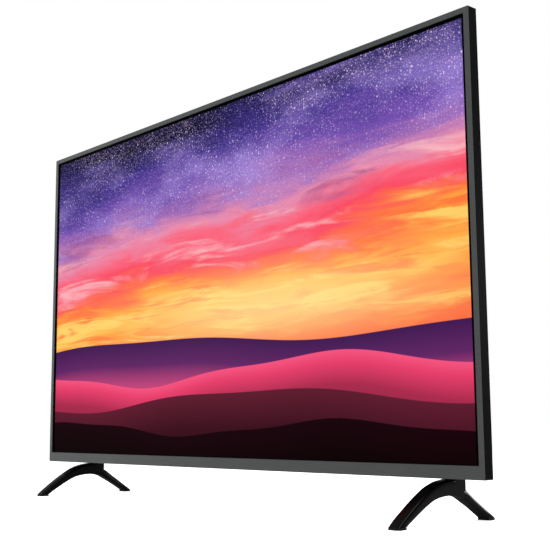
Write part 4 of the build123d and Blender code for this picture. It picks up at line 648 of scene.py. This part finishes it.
def foot_section(inner, outer, centre, crown):
    """One loop round the leg: soft edges inside the arch, round ones with a crown's radius outside."""
    reach = (outer - inner).length
    along = (outer - inner) / reach
    half, bend = FOOT_HALF_WIDTH, FOOT_EDGE * EDGE_MIDDLE
    profile = [(half - FOOT_EDGE, 0.0), (half - bend, bend), (half, FOOT_EDGE)]
    for angle in QUARTER_ANGLES:
        profile.append((half - crown + crown * math.cos(angle), reach - crown + crown * math.sin(angle)))
    ring = [*profile, *[(-x, rise) for x, rise in reversed(profile)]]
    return [inner + along * rise + Vector((centre + x, 0, 0)) for x, rise in ring]


def rear_swell(share):
    """One along the rear leg, none on the front leg and at the rear toe."""
    rise = min(1.0, max(0.0, (share - REAR_START) / REAR_RAMP))
    fall = min(1.0, max(0.0, (1.0 - share) / REAR_RAMP))
    return (3 - 2 * rise) * rise**2 * (3 - 2 * fall) * fall**2


def leg_shape(centre):
    """Arched leg, lofted along its outer and inner edge."""
    outer = smooth_path([foot_point(pair) for pair in FOOT_OUTER], LEG_LOOPS)
    inner = smooth_path([foot_point(pair) for pair in FOOT_INNER], LEG_LOOPS)
    loops = []
    for step, (inside, outside) in enumerate(zip(inner, outer)):
        crown = FOOT_CROWN + (REAR_CROWN - FOOT_CROWN) * rear_swell(step / (LEG_LOOPS - 1))
        loops.append(foot_section(inside, outside, centre, crown))
    return loft(loops)


def post_shape(centre):
    """Upright post with round corners, from inside the leg up into the cabinet."""
    front, back = FRONT_Y + POST_FRONT, FRONT_Y + POST_BACK
    half, edge = FOOT_HALF_WIDTH, POST_EDGE
    ring = []
    for x, y, turn in ((half, front, 3), (half, back, 0), (-half, back, 1), (-half, front, 2)):
        corner = Vector((x - math.copysign(edge, x), y - edge if y == back else y + edge, 0))
        for degrees in CORNER_DEGREES:
            angle = math.radians(turn * 90 + degrees)
            ring.append(corner + Vector((math.cos(angle) * edge + centre, math.sin(angle) * edge, 0)))
    ends = (CABINET_Z - POST_BOTTOM, CABINET_Z + POST_TOP)
    return loft([[point + Vector((0, 0, height)) for point in ring] for height in ends])


def foot(name, replaced, side):
    """Arched leg and its post, joined into one shell."""
    centre = side * FOOT_X
    made = piece(name, "gloss_black", as_mesh(name, leg_shape(centre)), replaced)
    post = bpy.data.objects.new(name + "_post", as_mesh(name + "_post", post_shape(centre)))
    bpy.context.scene.collection.objects.link(post)
    union = made.modifiers.new("union", "BOOLEAN")
    union.object = post
    union.operation = "UNION"
    union.solver = "EXACT"
    joined = bpy.data.meshes.new_from_object(made.evaluated_get(bpy.context.evaluated_depsgraph_get()))
    made.modifiers.clear()
    bpy.data.objects.remove(post)
    made.data = joined


def pad_loops(side, outer, inner):
    """Loops up a rubber pad with the leg's outline, slightly drawn in at its edges."""
    half, crown = FOOT_HALF_WIDTH, FOOT_CROWN
    away = 1 if outer > inner else -1
    right = [(half, inner)]
    for angle in QUARTER_ANGLES:
        right.append((half - crown + crown * math.cos(angle), outer - away * crown * (1 - math.sin(angle))))
    ring = [*right, *[(-x, y) for x, y in reversed(right)]]
    middle = (outer + inner) / 2
    loops = []
    for height, fill in PAD_LOOPS:
        loops.append([Vector((side * FOOT_X + x * fill, FRONT_Y + middle + (y - middle) * fill, height))
                      for x, y in ring])
    return loops


def rubber_pads():
    """The four pads as one piece."""
    shape = bmesh.new()
    for side in (-1, 1):
        for end in (0, -1):
            one = as_mesh("pad", loft(pad_loops(side, FOOT_OUTER[end][0], FOOT_INNER[end][0])))
            shape.from_mesh(one)
            bpy.data.meshes.remove(one)
    piece("rubber_pads", "rubber_black", as_mesh("rubber_pads", shape), "foot_pads")


foot("right_foot_shell", "right_foot", 1)
foot("left_foot_shell", "left_foot", -1)
rubber_pads()

# Lamps: place, the point they face, width and height, and power in watts
LAMPS = {
    "key": ((-1.0, -0.95, 0.55), (-0.4, 0, 0.12), (0.9, 0.7), 23),
    "fill": ((2.4, -1.4, 1.4), (0.2, 0, 0.25), (1.4, 1.4), 6),
    "back": ((0.8, 2.2, 1.8), (0, 0, 0.3), (1.8, 1.2), 8),
    "low_back": ((0.6, 2.2, 0.6), (0.4, 0, 0.1), (2.0, 0.5), 36),
    "top": ((1.12, -0.24, 1.55), (0.4, -0.05, 0.05), (1.1, 0.45), 28),
}

# Strength of the world's light on the object, and of the floor's own white where it is seen. The floor
# reaches this far from the middle, with a number of cells along each side.
WORLD_LIGHT = 0.36
FLOOR_GLOW = 0.72
FLOOR_HALF_WIDTH = 14.0
FLOOR_CELLS = 8


def area_light(name, place, target, size, power):
    """Rectangular lamp that faces a point."""
    data = bpy.data.lights.new(name, "AREA")
    data.shape = "RECTANGLE"
    data.size, data.size_y = size
    data.energy = power
    lamp = bpy.data.objects.new(name, data)
    bpy.context.scene.collection.objects.link(lamp)
    lamp.location = place
    lamp.rotation_euler = (Vector(target) - Vector(place)).to_track_quat("-Z", "Y").to_euler()


def seen_white(tree):
    """One for rays that are seen, also in a reflection or through glass, and nought for the others."""
    path = tree.nodes.new("ShaderNodeLightPath")
    seen = path.outputs["Is Camera Ray"]
    for ray in ("Is Glossy Ray", "Is Transmission Ray"):
        either = tree.nodes.new("ShaderNodeMath")
        either.operation = "MAXIMUM"
        tree.links.new(seen, either.inputs[0])
        tree.links.new(path.outputs[ray], either.inputs[1])
        seen = either.outputs[0]
    return seen


def white_world():
    """Soft white light all round, and plain white where the camera or a reflection looks past the floor."""
    world = bpy.data.worlds.new("studio")
    bpy.context.scene.world = world
    world.use_nodes = True
    tree = world.node_tree
    light = tree.nodes["Background"]
    seen = tree.nodes.new("ShaderNodeBackground")
    for background, strength in ((light, WORLD_LIGHT), (seen, 1.0)):
        background.inputs["Color"].default_value = (1, 1, 1, 1)
        background.inputs["Strength"].default_value = strength
    mixed = tree.nodes.new("ShaderNodeMixShader")
    tree.links.new(seen_white(tree), mixed.inputs[0])
    tree.links.new(light.outputs[0], mixed.inputs[1])
    tree.links.new(seen.outputs[0], mixed.inputs[2])
    tree.links.new(mixed.outputs[0], tree.nodes["World Output"].inputs["Surface"])


def studio_floor():
    """Wide white floor that fades into the white behind it and keeps the contact shadow."""
    shape = bmesh.new()
    bmesh.ops.create_grid(shape, x_segments=FLOOR_CELLS, y_segments=FLOOR_CELLS, size=FLOOR_HALF_WIDTH)
    mesh = as_mesh("floor", shape)
    floor = bpy.data.objects.new("floor", mesh)
    bpy.context.scene.collection.objects.link(floor)
    shade = Shade("floor_paint", Roughness=1.0, Specular_IOR_Level=0.0)
    shade.colour(shade.mix(shade.noise(3.0, detail=3.0), (0.82, 0.82, 0.82), (0.85, 0.85, 0.85)))
    shade.feed(shade.shader.inputs["Emission Color"], (1, 1, 1))
    shade.feed(shade.shader.inputs["Emission Strength"], shade.times(seen_white(shade.tree), FLOOR_GLOW))
    mesh.materials.append(shade.material)


for name, (place, target, size, power) in LAMPS.items():
    area_light(name, place, target, size, power)
white_world()
studio_floor()
bpy.context.scene.view_settings.view_transform = "Standard"
